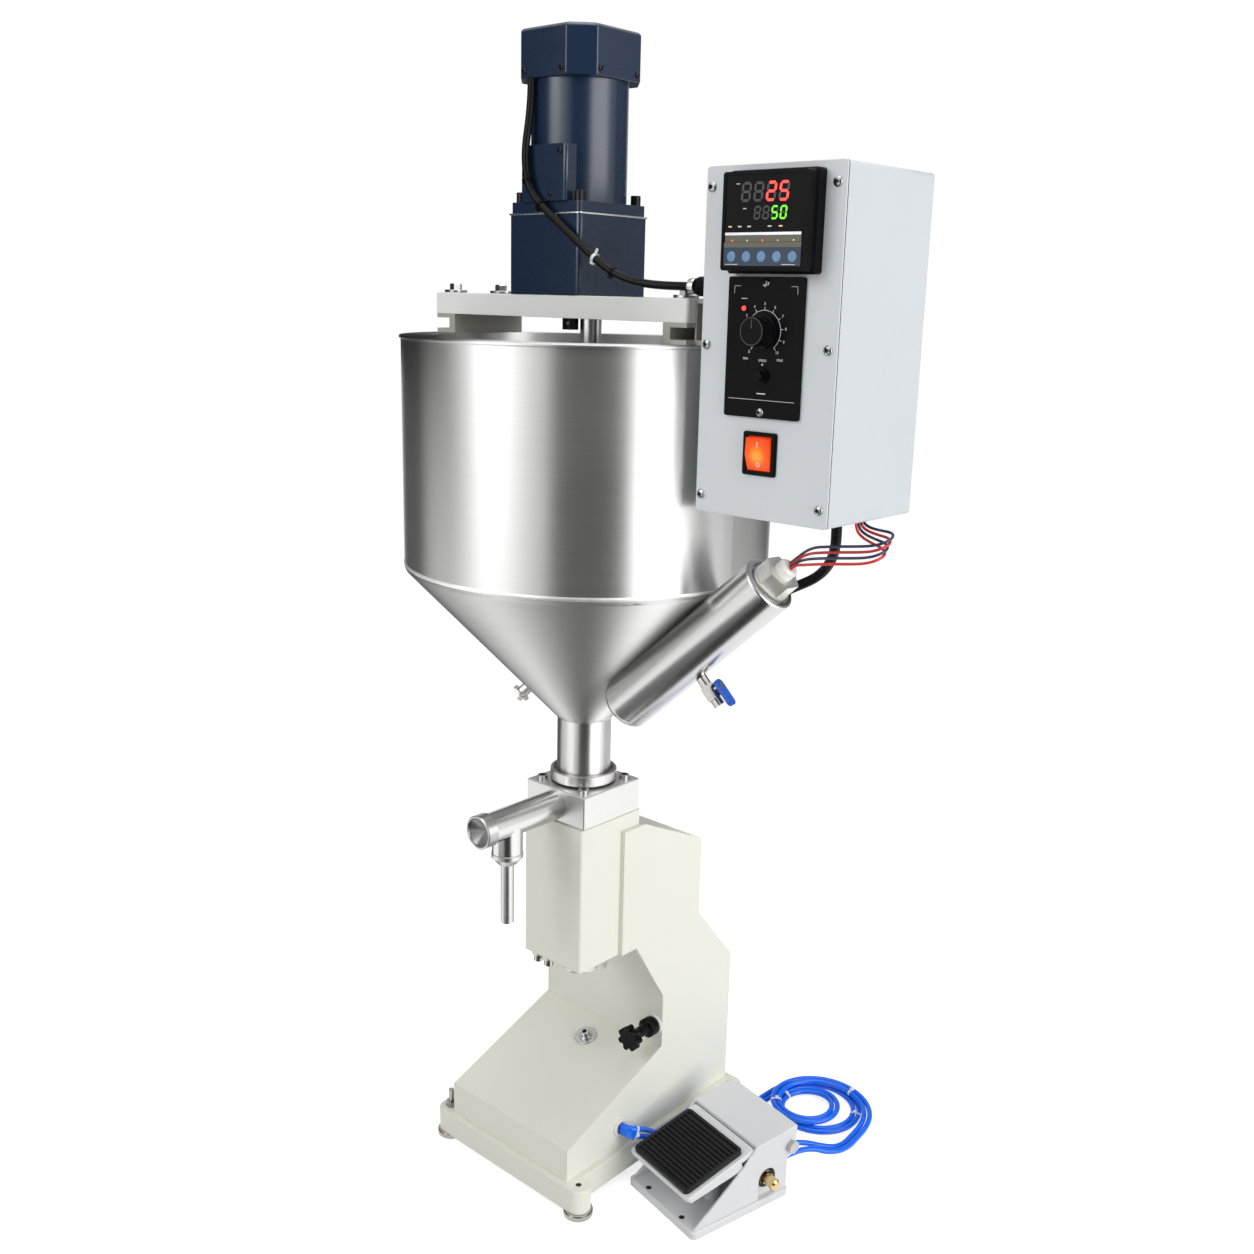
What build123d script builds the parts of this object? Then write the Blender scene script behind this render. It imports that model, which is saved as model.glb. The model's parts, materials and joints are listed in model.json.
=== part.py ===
from build123d import *
import os
from math import atan, cos, degrees, hypot, pi, radians, sin, sqrt, tan

# Piston paste filling machine: bench base, metering head, heated hopper with mixer, control box, foot pedal.
# Millimetres. The hopper's axis is x = y = 0 while modelling, the nozzle points to -Y and the floor is z = 0.
# Every piece is shifted at the end, so that the origin is under the middle of the machine's box.

# Clearances
seat_gap = 0.2
run_gap = 0.05
move_gap = 0.5

# Feet and base plate
foot_radius = 15.5
foot_height = 8.0
stud_radius = 3.0
stud_above_plate = 20.0
stud_sunk = 9.0
nut_height = 6.0
nut_radius = 6.5
plate_height = 26.5
plate_width = 190.0
plate_front_of_head = 27.0
plate_behind_column = 70.0
plate_corner = 6.0
ear_radius = 13.0
ear_reach = 17.5
plate_top = foot_height + plate_height

# Cylinders and pistons inside the head
stroke = 40.0
rod_radius = 8.0
air_bore = 31.5
air_wall = 2.5
cap_thickness = 6.0
guide_thickness = 12.0
boss_radius = 18.0
boss_drop = 5.0
air_piston_height = 12.0
meter_bore = 20.0
meter_wall = 5.0
meter_flange = 6.0
meter_piston_height = 20.0
top_space = 2.0
end_space = 1.0
seal_groove = 3.0
seal_depth = 1.5
seal_count = 2
air_outside = air_bore + air_wall

# Head casing around the cylinders, between the cheeks
head_side_space = 2.0
head_front_space = 5.0
head_back_space = 5.5
head_wall = 4.0
head_bottom = 262.0
head_height = 154.0
head_half = air_outside + head_side_space + head_wall
head_front = -(air_outside + head_front_space + head_wall)
head_back = air_outside + head_back_space + head_wall
head_top = head_bottom + head_height

# Column casing, a sheet shell on the base plate with cheeks that hold the head
ledge = 7.0
sheet = 4.0
cheek = 5.0
cover_front_height = 70.0
throat_depth = 40.5
throat_bottom = 126.3
gusset_drop = 74.0
gusset_before_back = 6.1
cheek_depth = 28.8
cheek_below_block = 16.5
cheek_shoulder = 3.0
column_depth = 57.0
column_top_drop = 44.0
back_break = 267.0
back_foot = 194.0
throat_y = head_back + throat_depth
gusset_y = head_back - gusset_before_back
gusset_bottom = head_bottom - gusset_drop
cheek_front = head_back - cheek_depth
cheek_top = head_top - cheek_below_block
cheek_shoulder_y = head_back + cheek_shoulder
column_top_y = throat_y + column_depth
column_top_back = cheek_top - column_top_drop
cover_right = head_half + cheek
plate_right = cover_right + ledge
plate_left = plate_right - plate_width
plate_front = head_front - plate_front_of_head
plate_back = column_top_y + plate_behind_column
cover_left = plate_left + ledge
cover_front = plate_front + ledge
cover_back = plate_back - ledge
top_slope = (cheek_top - column_top_back) / (column_top_y - cheek_shoulder_y)
throat_top = cheek_top - top_slope * (throat_y - cheek_shoulder_y)

# Hose grommet in the casing's side
port_y = 17.0
port_z = 59.4
grommet_radius = 9.0
grommet_sleeve = 8.0
grommet_proud = 3.0

# Star knob of the flow regulator in the throat wall
knob_x = 34.0
knob_z = 150.0
knob_reach = 45.0
knob_head_radius = 13.5
knob_lobes = 7
knob_lobe_radius = 3.4
knob_head_thickness = 10.0
knob_waist_radius = 6.0
knob_hub_radius = 10.5
knob_hub_length = 13.0
knob_hub_gap = 3.0
spindle_radius = 4.0

# Air fittings, hexagon with a round collet
fitting_hex = 7.0
fitting_hex_length = 6.0
fitting_collet = 5.0
fitting_collet_length = 7.0
head_fittings = ((-29.0, -33.0), (-14.0, -33.0))

# Valve block
block_front_inset = 2.0
block_height = 34.0
chamber_radius = 14.0
inlet_seat_radius = 9.0
inlet_seat_drop = 8.0
inlet_seat_thickness = 4.0
inlet_mouth_radius = 22.0
poppet_radius = 12.0
poppet_thickness = 3.0
poppet_lift = 6.0
stem_radius = 2.5
spider_low = 7.0
spider_height = 3.0
spider_hub = 5.0
spider_arm = 3.0
spring_wire = 0.6
inlet_spring_radius = 5.5
block_half_x = head_half
block_half_y = -head_front - block_front_inset
block_top = head_top + block_height

# Discharge tube and nozzle
tube_radius = 13.0
tube_wall = 3.5
tube_length = 90.0
end_cap_proud = 3.5
end_cap_length = 12.0
end_cap_plug = 8.0
end_cap_lip = 2.2
nozzle_from_tube_end = 26.0
branch_radius = 15.0
branch_drop = 30.0
branch_bore = 10.5
outlet_seat_radius = 7.0
outlet_seat_drop = 15.0
outlet_poppet_radius = 9.5
outlet_stem = 5.5
outlet_spring_radius = 7.0
nozzle_collar_radius = 15.5
nozzle_collar = 6.0
nozzle_cone = 6.0
nozzle_radius = 6.5
nozzle_bore = 5.0
nozzle_length = 74.0
tube_bore = tube_radius - tube_wall
tube_z = head_top + block_height / 2
tube_end = -(block_half_y + tube_length)
end_cap_radius = tube_radius + end_cap_proud
nozzle_y = tube_end + nozzle_from_tube_end
branch_end = tube_z - branch_drop
nozzle_end = branch_end - nozzle_length

# Union and hopper
seal_thickness = 2.0
union_wall = 6.5
union_height = 11.0
union_floor = 4.0
union_lip = 3.0
neck_radius = 27.0
neck_wall = 3.0
neck_length = 64.4
cone_rise = 154.6
drum_height = 215.0
jacket_radius = 175.0
hopper_sheet = 2.0
knuckle = 6.0
rim_proud = 1.5
rim_thickness = 3.0
rim_round = 1.2
ring_width = 32.0
jacket_space = 20.0
union_radius = neck_radius + union_wall
union_bottom = block_top + seal_thickness
cone_bottom = union_bottom + neck_length
cone_top = cone_bottom + cone_rise
hopper_top = cone_top + drum_height
vessel_radius = jacket_radius - ring_width
rim_radius = jacket_radius + rim_proud
cone_slope = (cone_top - cone_bottom) / (jacket_radius - neck_radius)

# Heater tube against the cone
heater_low_inside = 84.0
heater_low_azimuth = -23.3
heater_low_off_cone = 20.9
heater_high_outside = 57.9
heater_high_azimuth = -4.93
heater_high_off_cone = 26.9
heater_radius = 25.5
heater_wall = 2.5
heater_round = 9.0
heater_ring_round = 2.5
heater_lip = 4.5
plug_seat_depth = 3.0
plug_flange_gap = 2.5
plug_flange_step = 2.5
plug_flange = 5.0
plug_hex_step = 0.5
plug_hex_length = 14.0
plug_spigot = 12.0
element_radius = 4.0
element_spacing = 14.0
element_length = 130.0
ceramic_radius = 9.0
ceramic_length = 9.0
ceramic_tip = 2.0
probe_from_end = 42.0
probe_radius = 7.0
probe_reach = 46.0
probe_way = Vector(0.62, 0.68, 0.39).normalized()
probe_lead_in = 12.0
heater_mouth = heater_radius - heater_lip
plug_flange_radius = heater_mouth - plug_flange_gap
plug_hex_radius = plug_flange_radius - plug_hex_step
plug_spigot_radius = plug_flange_radius - plug_flange_step

# Fill plug and drain cock of the jacket
fill_azimuth = 221.5
fill_rise = 29.6
fill_stub_radius = 6.0
fill_stub = 10.0
fill_washer_radius = 9.5
fill_washer = 2.0
fill_hex_radius = 6.0
fill_hex = 5.0
drain_along = 0.45
drain_stub_radius = 5.0
drain_stub = 9.0
drain_body_radius = 7.5
drain_body = 14.0
drain_outlet = 7.0
drain_stem_radius = 2.5
lever_offset = 10.5
lever_thickness = 3.0
lever_width = 10.0
lever_length = 27.0
lever_behind = 6.0

# Mixer
arm_left_inset = 7.0
arm_right_inset = 23.0
arm_half_width = 45.0
arm_thickness = 20.0
standoff_height = 18.0
standoff_width = 26.0
standoff_flange = 4.0
standoff_web = 8.0
shaft_radius = 10.0
shaft_above_neck = 73.6
shaft_hole_gap = 3.0
gear_socket = 25.0
gearbox_ledge = 1.0
gearbox_height = 70.0
gearbox_x = -18.0
gearbox_corner = 4.0
flange_height = 11.0
motor_radius = 44.0
motor_height = 104.0
end_bell_step = 2.0
end_bell_height = 26.0
fan_ledge = 3.0
fan_height = 42.0
fan_chamfer = 19.0
fan_wall = 3.0
capacitor_left_of_axis = 28.0
capacitor_right_of_axis = 29.0
capacitor_proud = 3.0
capacitor_depth = 27.0
capacitor_height = 48.0
capacitor_corner = 3.0
paddle_hub = 16.0
paddle_bar = 22.0
paddle_thickness = 6.0
paddle_clear = 15.0
paddle_below_rim = 51.0
paddle_above_neck = 103.6
arm_left = -(jacket_radius - arm_left_inset)
arm_right = jacket_radius - arm_right_inset
shaft_bottom = cone_bottom + shaft_above_neck
paddle_top = hopper_top - paddle_below_rim
paddle_foot = cone_bottom + paddle_above_neck
flange_size = 2 * motor_radius
gearbox_size = flange_size + 2 * gearbox_ledge
end_bell_radius = motor_radius - end_bell_step
fan_size = 2 * (motor_radius + fan_ledge)
capacitor_left = gearbox_x - capacitor_left_of_axis
capacitor_right = gearbox_x + capacitor_right_of_axis
capacitor_front = -(motor_radius + capacitor_proud)
capacitor_back = capacitor_front + capacitor_depth
arm_bottom = hopper_top + standoff_height
arm_top = arm_bottom + arm_thickness
flange_bottom = arm_top + gearbox_height
motor_bottom = flange_bottom + flange_height
motor_top = motor_bottom + motor_height

# Control box
box_from_rim = 1.5
box_width = 130.0
box_depth = 123.5
box_height = 273.0
box_front = -55.0
box_below_rim = 134.0
box_wall = 2.0
box_corner = 3.0
panel_thickness = 2.0
lead_hole_from_left = 109.5
lead_hole_y = 8.0
lead_hole_radius = 17.0
bracket_half_width = 34.0
bracket_wall = 4.0
gland_y = -38.0
gland_above_arm = 9.7
gland_radius = 8.0
gland_length = 22.0
gland_pocket = 2.0
ferrule_radius = 6.0
ferrule_length = 7.0
box_left = rim_radius + box_from_rim
box_right = box_left + box_width
box_back = box_front + box_depth
box_bottom = hopper_top - box_below_rim
box_top = box_bottom + box_height
panel_face = box_front - panel_thickness
lead_hole_x = box_left + lead_hole_from_left
gland_z = arm_top + gland_above_arm

# Controls on the front panel, measured from the box's left and bottom edges
controller_from_left = 71.3
controller_rise = 229.7
controller_width = 81.8
controller_height = 76.3
controller_proud = 21.0
controller_step = 9.0
controller_inset = 2.0
controller_case_width = 74.0
controller_case_height = 68.0
controller_case_depth = 60.0
window_width = 72.0
window_height = 49.0
window_rise = 9.0
window_depth = 0.8
key_count = 5
key_spacing = 14.2
key_radius = 4.0
key_gap = 0.25
key_height = 3.4
key_proud = 1.0
key_travel = 0.8
key_drop = 25.9
speed_from_left = 63.9
speed_rise = 81.5
speed_height = 108.1
speed_width = 72.0
speed_thickness = 3.0
speed_knob_rise = 148.5
speed_knob_radius = 11.5
speed_knob_skirt = 13.0
speed_knob_skirt_height = 3.0
speed_knob_height = 16.0
speed_knob_flutes = 18
speed_flute_radius = 0.9
speed_shaft_radius = 3.0
speed_shaft_length = 12.0
button_rise = 114.3
button_radius = 4.0
button_proud = 5.0
button_ring_radius = 6.3
button_ring_height = 2.0
button_length = 12.0
rocker_rise = 53.0
rocker_frame_width = 32.3
rocker_frame_height = 34.7
rocker_frame_proud = 2.5
rocker_width = 23.0
rocker_half_height = 13.2
rocker_edge = 3.0
rocker_crown = 5.5
rocker_depth = 5.0
rocker_tilt = 8.0
controller_x = box_left + controller_from_left
controller_z = box_bottom + controller_rise
key_z = controller_z - key_drop
speed_x = box_left + speed_from_left
speed_low = box_bottom + speed_rise
speed_high = speed_low + speed_height
speed_knob_z = box_bottom + speed_knob_rise
button_z = box_bottom + button_rise
rocker_z = box_bottom + rocker_rise

# Foot pedal, in its own frame: u across, v from its front to its back
pedal_from_base = 8.5
pedal_y = 6.0
pedal_yaw = -12.0
pedal_base_ledge = 3.0
pedal_base_front = -2.0
pedal_base_back = 129.0
pedal_base_height = 8.0
pedal_half = 52.5
pedal_wall = 2.8
pedal_edge = 1.2
pedal_wall_start = 0.5
pedal_wall_mid = (65.0, 53.0)
pedal_hood_front = (84.0, 72.0)
pedal_hood_back = (140.0, 77.5)
pedal_hood_thickness = 4.0
pedal_overhang = (138.5, 46.5)
pedal_back = (127.5, 42.0)
pedal_bolt_u = 28.0
pedal_bolt_v = 5.0
pedal_bolt_hole = 3.2
valve_left = 8.0
valve_front = 86.0
valve_top = 41.0
pivot_v = 70.0
pivot_z = 50.0
pivot_radius = 4.0
pin_cover = 1.0
pin_end_gap = 0.2
treadle_gap = 0.4
treadle_front_v = -6.0
treadle_front_z = 46.5
treadle_back_v = 83.0
treadle_back_z = 68.9
treadle_thickness = 5.0
treadle_corner = 4.0
skirt_front = (3.0, 7.0)
skirt_back = (72.0, 13.6)
skirt_wall = 3.0
lug_thickness = 6.0
lug_radius = 9.0
lug_u = 34.0
pad_side_margin = 5.0
pad_front_margin = 2.0
pad_back_margin = 12.0
pad_corner = 5.0
pad_thickness = 2.8
pad_border = 3.5
pad_ridges = 13
pad_groove_width = 2.3
pad_groove_depth = 2.2
spring_v = 30.0
pedal_spring_radius = 8.0
pedal_spring_wire = 1.2
plunger_u = 18.0
plunger_v = 52.0
plunger_radius = 4.0
plunger_gap = 0.6
plunger_length = 26.0
plunger_boss_radius = 9.0
plunger_boss_top = 36.0
silencer_v = 99.0
silencer_z = 29.5
silencer_port = 11.5
silencer_port_depth = 4.5
silencer_radius = 6.0
silencer_hex = 7.0
silencer_hex_length = 6.0
silencer_length = 20.0
pedal_fitting_u = (18.0, 34.0)
pedal_fitting_z = 27.0
side_screw_v = 131.0
side_screw_z = 56.5
pedal_base_half = pedal_half + pedal_base_ledge
pedal_x = plate_right + pedal_from_base + pedal_base_half

# Air hoses, in pairs from the casing to a coil behind the pedal and back to the pedal
hose_diameter = 6.0
hose_half_pitch = 3.4
hose_floor = 3.1
coil_x = 140.0
coil_y = 262.0
coil_radius = 60.0
coil_step = 27.0
coil_turns_each_way = 1
coil_layer = 6.8
coil_fan = 0.5
hose_leave_port = (
    (46.0, 17.0, 59.4),
    (54.0, 17.0, 59.4),
    (59.3, 19.6, 58.6),
    (62.0, 25.0, 56.6),
    (62.6, 34.5, 52.0),
    (62.2, 48.0, 43.6),
    (62.6, 64.0, 32.4),
    (64.4, 83.0, 18.8),
    (67.5, 104.5, 8.0),
    (71.0, 130.0, 3.8),
    (75.5, 160.0, hose_floor),
    (79.8, 190.0, hose_floor),
)
hose_leave_turn = (90.0, 90.0, 90.0, 92.0, 100.0, 122.0, 150.0, 170.0, 180.0, 180.0, 180.0, 180.0)
hose_leave_spread = (3.4, 3.4, 3.8, 4.2, 4.4, 4.3, 4.0, 3.6, 3.4, 3.4, 3.4, 3.4)
hose_to_coil = 40.0
hose_from_coil = 18.0
hose_reach_pedal = (
    (204.5, 222.0, 10.5),
    (202.5, 204.5, 13.0),
    (195.0, 190.0, 17.0),
    (184.5, 178.0, 22.5),
)
hose_reach_turn = (0.0, -15.0, -37.0, -10.0)
hose_reach_spread = (3.4, 3.8, 5.0, 6.5)
hose_straight_end = 20.0

# Motor lead and heater leads
motor_lead_diameter = 7.0
motor_lead_start = (-34.0, -45.6)
motor_lead_route = (
    (-34.0, -45.6, 1096.0),
    (-34.2, -48.0, 1074.0),
    (-34.4, -52.0, 1053.0),
    (-33.5, -53.0, 1034.0),
    (-29.0, -52.6, 1016.0),
    (-16.0, -51.6, 1002.0),
    (4.0, -51.2, 988.0),
    (28.0, -51.4, 971.5),
    (53.0, -51.0, 954.5),
    (77.0, -49.0, 941.0),
    (99.0, -45.0, 935.6),
    (119.0, -40.0, 934.0),
    (136.0, gland_y, gland_z),
)
heater_wire_diameter = 2.4
heater_wire_count = 4
heater_wire_step = Vector(0.0, 3.6, 4.4)
heater_wire_gather = 0.6
heater_wire_route = (
    (264.2, -16.0, 719.9),
    (280.0, -12.0, 722.5),
    (298.0, -7.0, 724.5),
    (310.0, -4.2, 726.0),
    (318.4, -3.0, 728.0),
    (323.9, 0.8, 730.5),
    (326.0, 7.0, 733.0),
    (323.9, 13.2, 735.3),
    (318.4, 17.0, 737.0),
    (308.0, 17.0, 738.5),
    (299.5, 14.5, 741.5),
    (295.0, 12.0, 747.0),
)
heater_wire_fan = (1.0, 1.0, 1.0, 1.0, 1.0, 1.0, 1.0, 1.0, 0.9, 0.7, 0.5, 0.3)
lead_inside_box = 12.0
heater_wire_exit = (294.0, 10.7)
sheath_diameter = 9.0
sheath_route = (
    (279.0, 4.0, 740.0),
    (275.5, 9.5, 726.5),
    (268.5, 16.0, 714.0),
    (259.5, 20.5, 702.5),
    (248.7, 21.0, 693.1),
)
sheath_exit = (279.3, 2.4)

# The middle of the machine's box without its hoses and leads
centre_x = (box_right - rim_radius) / 2
centre_y = (plate_back - rim_radius) / 2


# Shared forms

def block(x, y, z):
    """Box between the low and the high end given for each axis."""
    size = Box(x[1] - x[0], y[1] - y[0], z[1] - z[0])
    return Pos((x[0] + x[1]) / 2, (y[0] + y[1]) / 2, (z[0] + z[1]) / 2) * size


def disc(radius, low, high):
    """Upright cylinder on the Z axis between two heights."""
    return Pos(0, 0, low) * Cylinder(radius, high - low, align=(Align.CENTER, Align.CENTER, Align.MIN))


def hexagon(radius, low, high):
    """Upright hexagonal prism, radius to its corners."""
    return Pos(0, 0, low) * extrude(RegularPolygon(radius, 6), high - low)


def turned(*outline):
    """Solid turned about Z from (radius, height) points."""
    return revolve(Plane.XZ * make_face(Polyline(*outline, close=True)), Axis.Z)


def profile_across(outline, left, right):
    """Prism along X between two places, from (y, z) points."""
    return Pos(left, 0, 0) * extrude(Plane.YZ * make_face(Polyline(*outline, close=True)), right - left)


def facing_front(x, y, z):
    """Place whose local Z points to the front and local Y up."""
    return Pos(x, y, z) * Rot(90, 0, 0)


def helix_spring(radius, wire, low, high, turns):
    """Compression spring on the Z axis, its wire's outside between two heights."""
    height = high - low - 2 * wire
    path = Helix(height / turns, height, radius)
    section = Plane(origin=path @ 0, z_dir=path % 0) * Circle(wire)
    return Pos(0, 0, low + wire) * sweep(section, path)


def arc_radii(places):
    """Radius at each inner point of a route: as large as its two runs allow."""
    radii = []
    for before, here, after in zip(places, places[1:], places[2:]):
        run_in = here - before
        run_out = after - here
        half_turn = radians(run_in.get_angle(run_out)) / 2
        radii.append(0.45 * min(run_in.length, run_out.length) / tan(half_turn))
    return radii


def cord(name, points, diameter):
    """Round cord on straight runs joined by tangent arcs."""
    places = [Vector(*point) for point in points]
    radii = arc_radii(places)
    path = FilletPolyline(*places, radius=radii)
    section = Plane(origin=places[0], z_dir=places[1] - places[0]) * Circle(diameter / 2)
    tube = sweep(section, path)
    share = tube.volume / (pi * diameter**2 / 4 * path.length)
    shown = ", ".join(f"{radius:.0f}" for radius in radii)
    print(f"{name}: length {path.length:.0f} mm, volume {share:.4f} of section times length, radii {shown}")
    return tube


def biarc(start, start_way, end, end_way):
    """Two arcs from one place and direction to another, tangent where they meet."""
    reach = end - start
    both = start_way + end_way
    slack = 2 * (1 - start_way.dot(end_way))
    along = reach.dot(both)
    if slack < 1e-9:
        arm = reach.dot(reach) / (2 * along)
    else:
        arm = (-along + sqrt(along**2 + slack * reach.dot(reach))) / slack
    first = start + start_way * arm
    second = end - end_way * arm
    middle = (first + second) * 0.5
    middle_way = (second - first).normalized()
    return [TangentArc(start, middle, tangent=start_way), TangentArc(middle, end, tangent=middle_way)]


# Base

def ear_places():
    """Middles of the four ears: left front, right front, left back, right back."""
    left = plate_left - ear_reach + ear_radius
    right = plate_right + ear_reach - ear_radius
    return [(x, y) for y in (plate_front + ear_radius, plate_back - ear_radius) for x in (left, right)]


def make_base_plate():
    length_x = plate_right - plate_left
    length_y = plate_back - plate_front
    middle = Pos((plate_left + plate_right) / 2, (plate_front + plate_back) / 2)
    outline = middle * RectangleRounded(length_x, length_y, plate_corner)
    tab_length = 2 * ear_reach + 2 * ear_radius
    for x, y in ear_places():
        inward = 1 if x < 0 else -1
        tab = RectangleRounded(tab_length, 2 * ear_radius, ear_radius - 0.01)
        outline += Pos(x + inward * (tab_length / 2 - ear_radius), y) * tab
    plate = Pos(0, 0, foot_height) * extrude(outline, plate_height)
    plate = chamfer(plate.faces().sort_by(Axis.Z)[-1].edges(), 1.0)
    for x, y in ear_places():
        plate -= Pos(x, y) * disc(stud_radius + seat_gap, 0, plate_top + 1)
    return plate


def make_levelling_feet():
    feet = []
    for number, (x, y) in enumerate(ear_places()):
        foot = turned(
            (0, 0), (foot_radius - 1.5, 0), (foot_radius, 1.5), (foot_radius, foot_height - 2),
            (foot_radius - 1, foot_height - 2), (foot_radius - 1, foot_height), (0, foot_height),
        )
        if number == 0:
            foot += disc(stud_radius, 0, plate_top + stud_above_plate)
            foot += hexagon(nut_radius, plate_top + seat_gap, plate_top + nut_height)
        else:
            foot += disc(stud_radius, 0, plate_top - stud_sunk)
        feet.append(Pos(x, y) * foot)
    return Compound(feet)


def make_column_casing():
    side = (
        (cover_front, plate_top), (cover_front, cover_front_height), (throat_y, throat_bottom),
        (throat_y, throat_top), (column_top_y, column_top_back), (column_top_y, back_break),
        (cover_back, back_foot), (cover_back, plate_top),
    )
    sunk = ((cover_front, plate_top - 2 * sheet),) + side[1:-1] + ((cover_back, plate_top - 2 * sheet),)
    hollow_face = offset(make_face(Polyline(*sunk, close=True)), -sheet, kind=Kind.INTERSECTION)
    hollow_width = cover_right - cover_left - 2 * sheet
    hollow = Pos(cover_left + sheet, 0, 0) * extrude(Plane.YZ * hollow_face, hollow_width)
    casing = profile_across(side, cover_left, cover_right) - hollow
    holder = (
        (cheek_front, head_bottom), (gusset_y, head_bottom), (throat_y, gusset_bottom),
        (throat_y, throat_top), (cheek_shoulder_y, cheek_top), (cheek_front, cheek_top),
    )
    casing += profile_across(holder, head_half, cover_right)
    casing += profile_across(holder, -cover_right, -head_half)
    back_plate = (
        (head_back, head_bottom), (throat_y, head_bottom), (throat_y, throat_top),
        (cheek_shoulder_y, cheek_top), (head_back, cheek_top),
    )
    casing += profile_across(back_plate, -cover_right, cover_right)
    port = Pos(cover_right - 2 * sheet, port_y, port_z) * Rot(0, 90, 0)
    casing -= port * disc(grommet_sleeve + seat_gap, 0, 3 * sheet)
    spindle = facing_front(knob_x, throat_y + 2 * sheet, knob_z)
    casing -= spindle * disc(spindle_radius + run_gap, 0, 3 * sheet)
    return casing


def make_hose_grommet():
    ring = turned(
        (0, -sheet), (grommet_sleeve, -sheet), (grommet_sleeve, 0), (grommet_radius, 0),
        (grommet_radius, grommet_proud - 1), (grommet_radius - 1, grommet_proud), (0, grommet_proud),
    )
    bore = hose_half_pitch + hose_diameter / 2 + seat_gap
    ring -= disc(bore, grommet_proud - 2, grommet_proud + 1)
    return Pos(cover_right, port_y, port_z) * Rot(0, 90, 0) * ring


def make_star_knob():
    head = Circle(knob_head_radius - knob_lobe_radius)
    for number in range(knob_lobes):
        turn = Rot(0, 0, number * 360 / knob_lobes)
        head += turn * Pos(knob_head_radius - knob_lobe_radius, 0) * Circle(knob_lobe_radius)
    head_low = knob_reach - knob_head_thickness
    knob = Pos(0, 0, head_low) * extrude(head, knob_head_thickness)
    knob += turned(
        (0, knob_hub_gap), (knob_hub_radius - 1.5, knob_hub_gap), (knob_hub_radius, knob_hub_gap + 1.5),
        (knob_hub_radius, knob_hub_gap + knob_hub_length - 2),
        (knob_waist_radius, knob_hub_gap + knob_hub_length),
        (knob_waist_radius, head_low + 1), (0, head_low + 1),
    )
    knob += disc(spindle_radius, -3 * sheet, knob_hub_gap + 1)
    return facing_front(knob_x, throat_y, knob_z) * knob


# Metering head

def make_head_casing():
    outside = block((-head_half, head_half), (head_front, head_back), (head_bottom, head_top))
    outside = fillet(outside.edges().filter_by(Axis.Z), 2.5)
    inside = block(
        (-head_half + head_wall, head_half - head_wall),
        (head_front + head_wall, head_back - head_wall),
        (head_bottom + head_wall, head_top + 1),
    )
    casing = outside - inside
    casing -= disc(boss_radius + seat_gap, head_bottom - 1, head_bottom + head_wall + 1)
    return casing


cap_bottom = head_bottom + head_wall
barrel_bottom = cap_bottom + cap_thickness
barrel_top = barrel_bottom + end_space + stroke + air_piston_height + end_space
guide_top = barrel_top + guide_thickness
air_piston_low = barrel_bottom + end_space + stroke
meter_piston_top = head_top - top_space
meter_piston_low = meter_piston_top - meter_piston_height


def make_cylinder_end_cap():
    cap = disc(air_bore + air_wall, cap_bottom, barrel_bottom)
    cap += turned(
        (0, cap_bottom + 1), (boss_radius, cap_bottom + 1), (boss_radius, head_bottom - boss_drop + 1),
        (boss_radius - 1, head_bottom - boss_drop), (0, head_bottom - boss_drop),
    )
    return cap


def make_air_cylinder():
    barrel = disc(air_bore + air_wall, barrel_bottom, guide_top)
    barrel -= disc(air_bore, barrel_bottom - 1, barrel_top)
    return barrel - disc(rod_radius + run_gap, barrel_top - 1, guide_top + 1)


def make_metering_cylinder():
    cylinder = disc(meter_bore + meter_wall, guide_top, head_top)
    cylinder += disc(air_bore + air_wall, guide_top, guide_top + meter_flange)
    return cylinder - disc(meter_bore, guide_top - 1, head_top + 1)


def make_piston_rod():
    return disc(rod_radius, air_piston_low, meter_piston_low) + disc(
        air_bore - run_gap, air_piston_low, air_piston_low + air_piston_height
    )


def seal_heights():
    """Low edge of each seal groove in the metering piston."""
    land = (meter_piston_height - seal_count * seal_groove) / (seal_count + 1)
    return [meter_piston_low + land + number * (land + seal_groove) for number in range(seal_count)]


def make_metering_piston():
    piston = disc(meter_bore - run_gap, meter_piston_low, meter_piston_top)
    for low in seal_heights():
        groove = disc(meter_bore + 1, low, low + seal_groove)
        piston -= groove - disc(meter_bore - seal_depth, low, low + seal_groove)
    return chamfer(piston.faces().sort_by(Axis.Z)[-1].edges(), 1.0)


def make_air_fittings():
    fitting = hexagon(fitting_hex, 0, fitting_hex_length)
    fitting += disc(fitting_collet, fitting_hex_length - 1, fitting_hex_length + fitting_collet_length)
    pieces = [Pos(x, y, head_bottom) * Rot(180, 0, 0) * fitting for x, y in head_fittings]
    for u in pedal_fitting_u:
        pieces.append(pedal_place * pedal_rear(u) * fitting)
    screw = hexagon(fitting_hex, 0, fitting_hex_length)
    pieces.append(pedal_place * Pos(pedal_half, side_screw_v, side_screw_z) * Rot(0, 90, 0) * screw)
    return Compound(pieces)


# Valve block, discharge and nozzle

inlet_seat = block_top - inlet_seat_drop
spider_top = head_top + spider_low + spider_height


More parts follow.
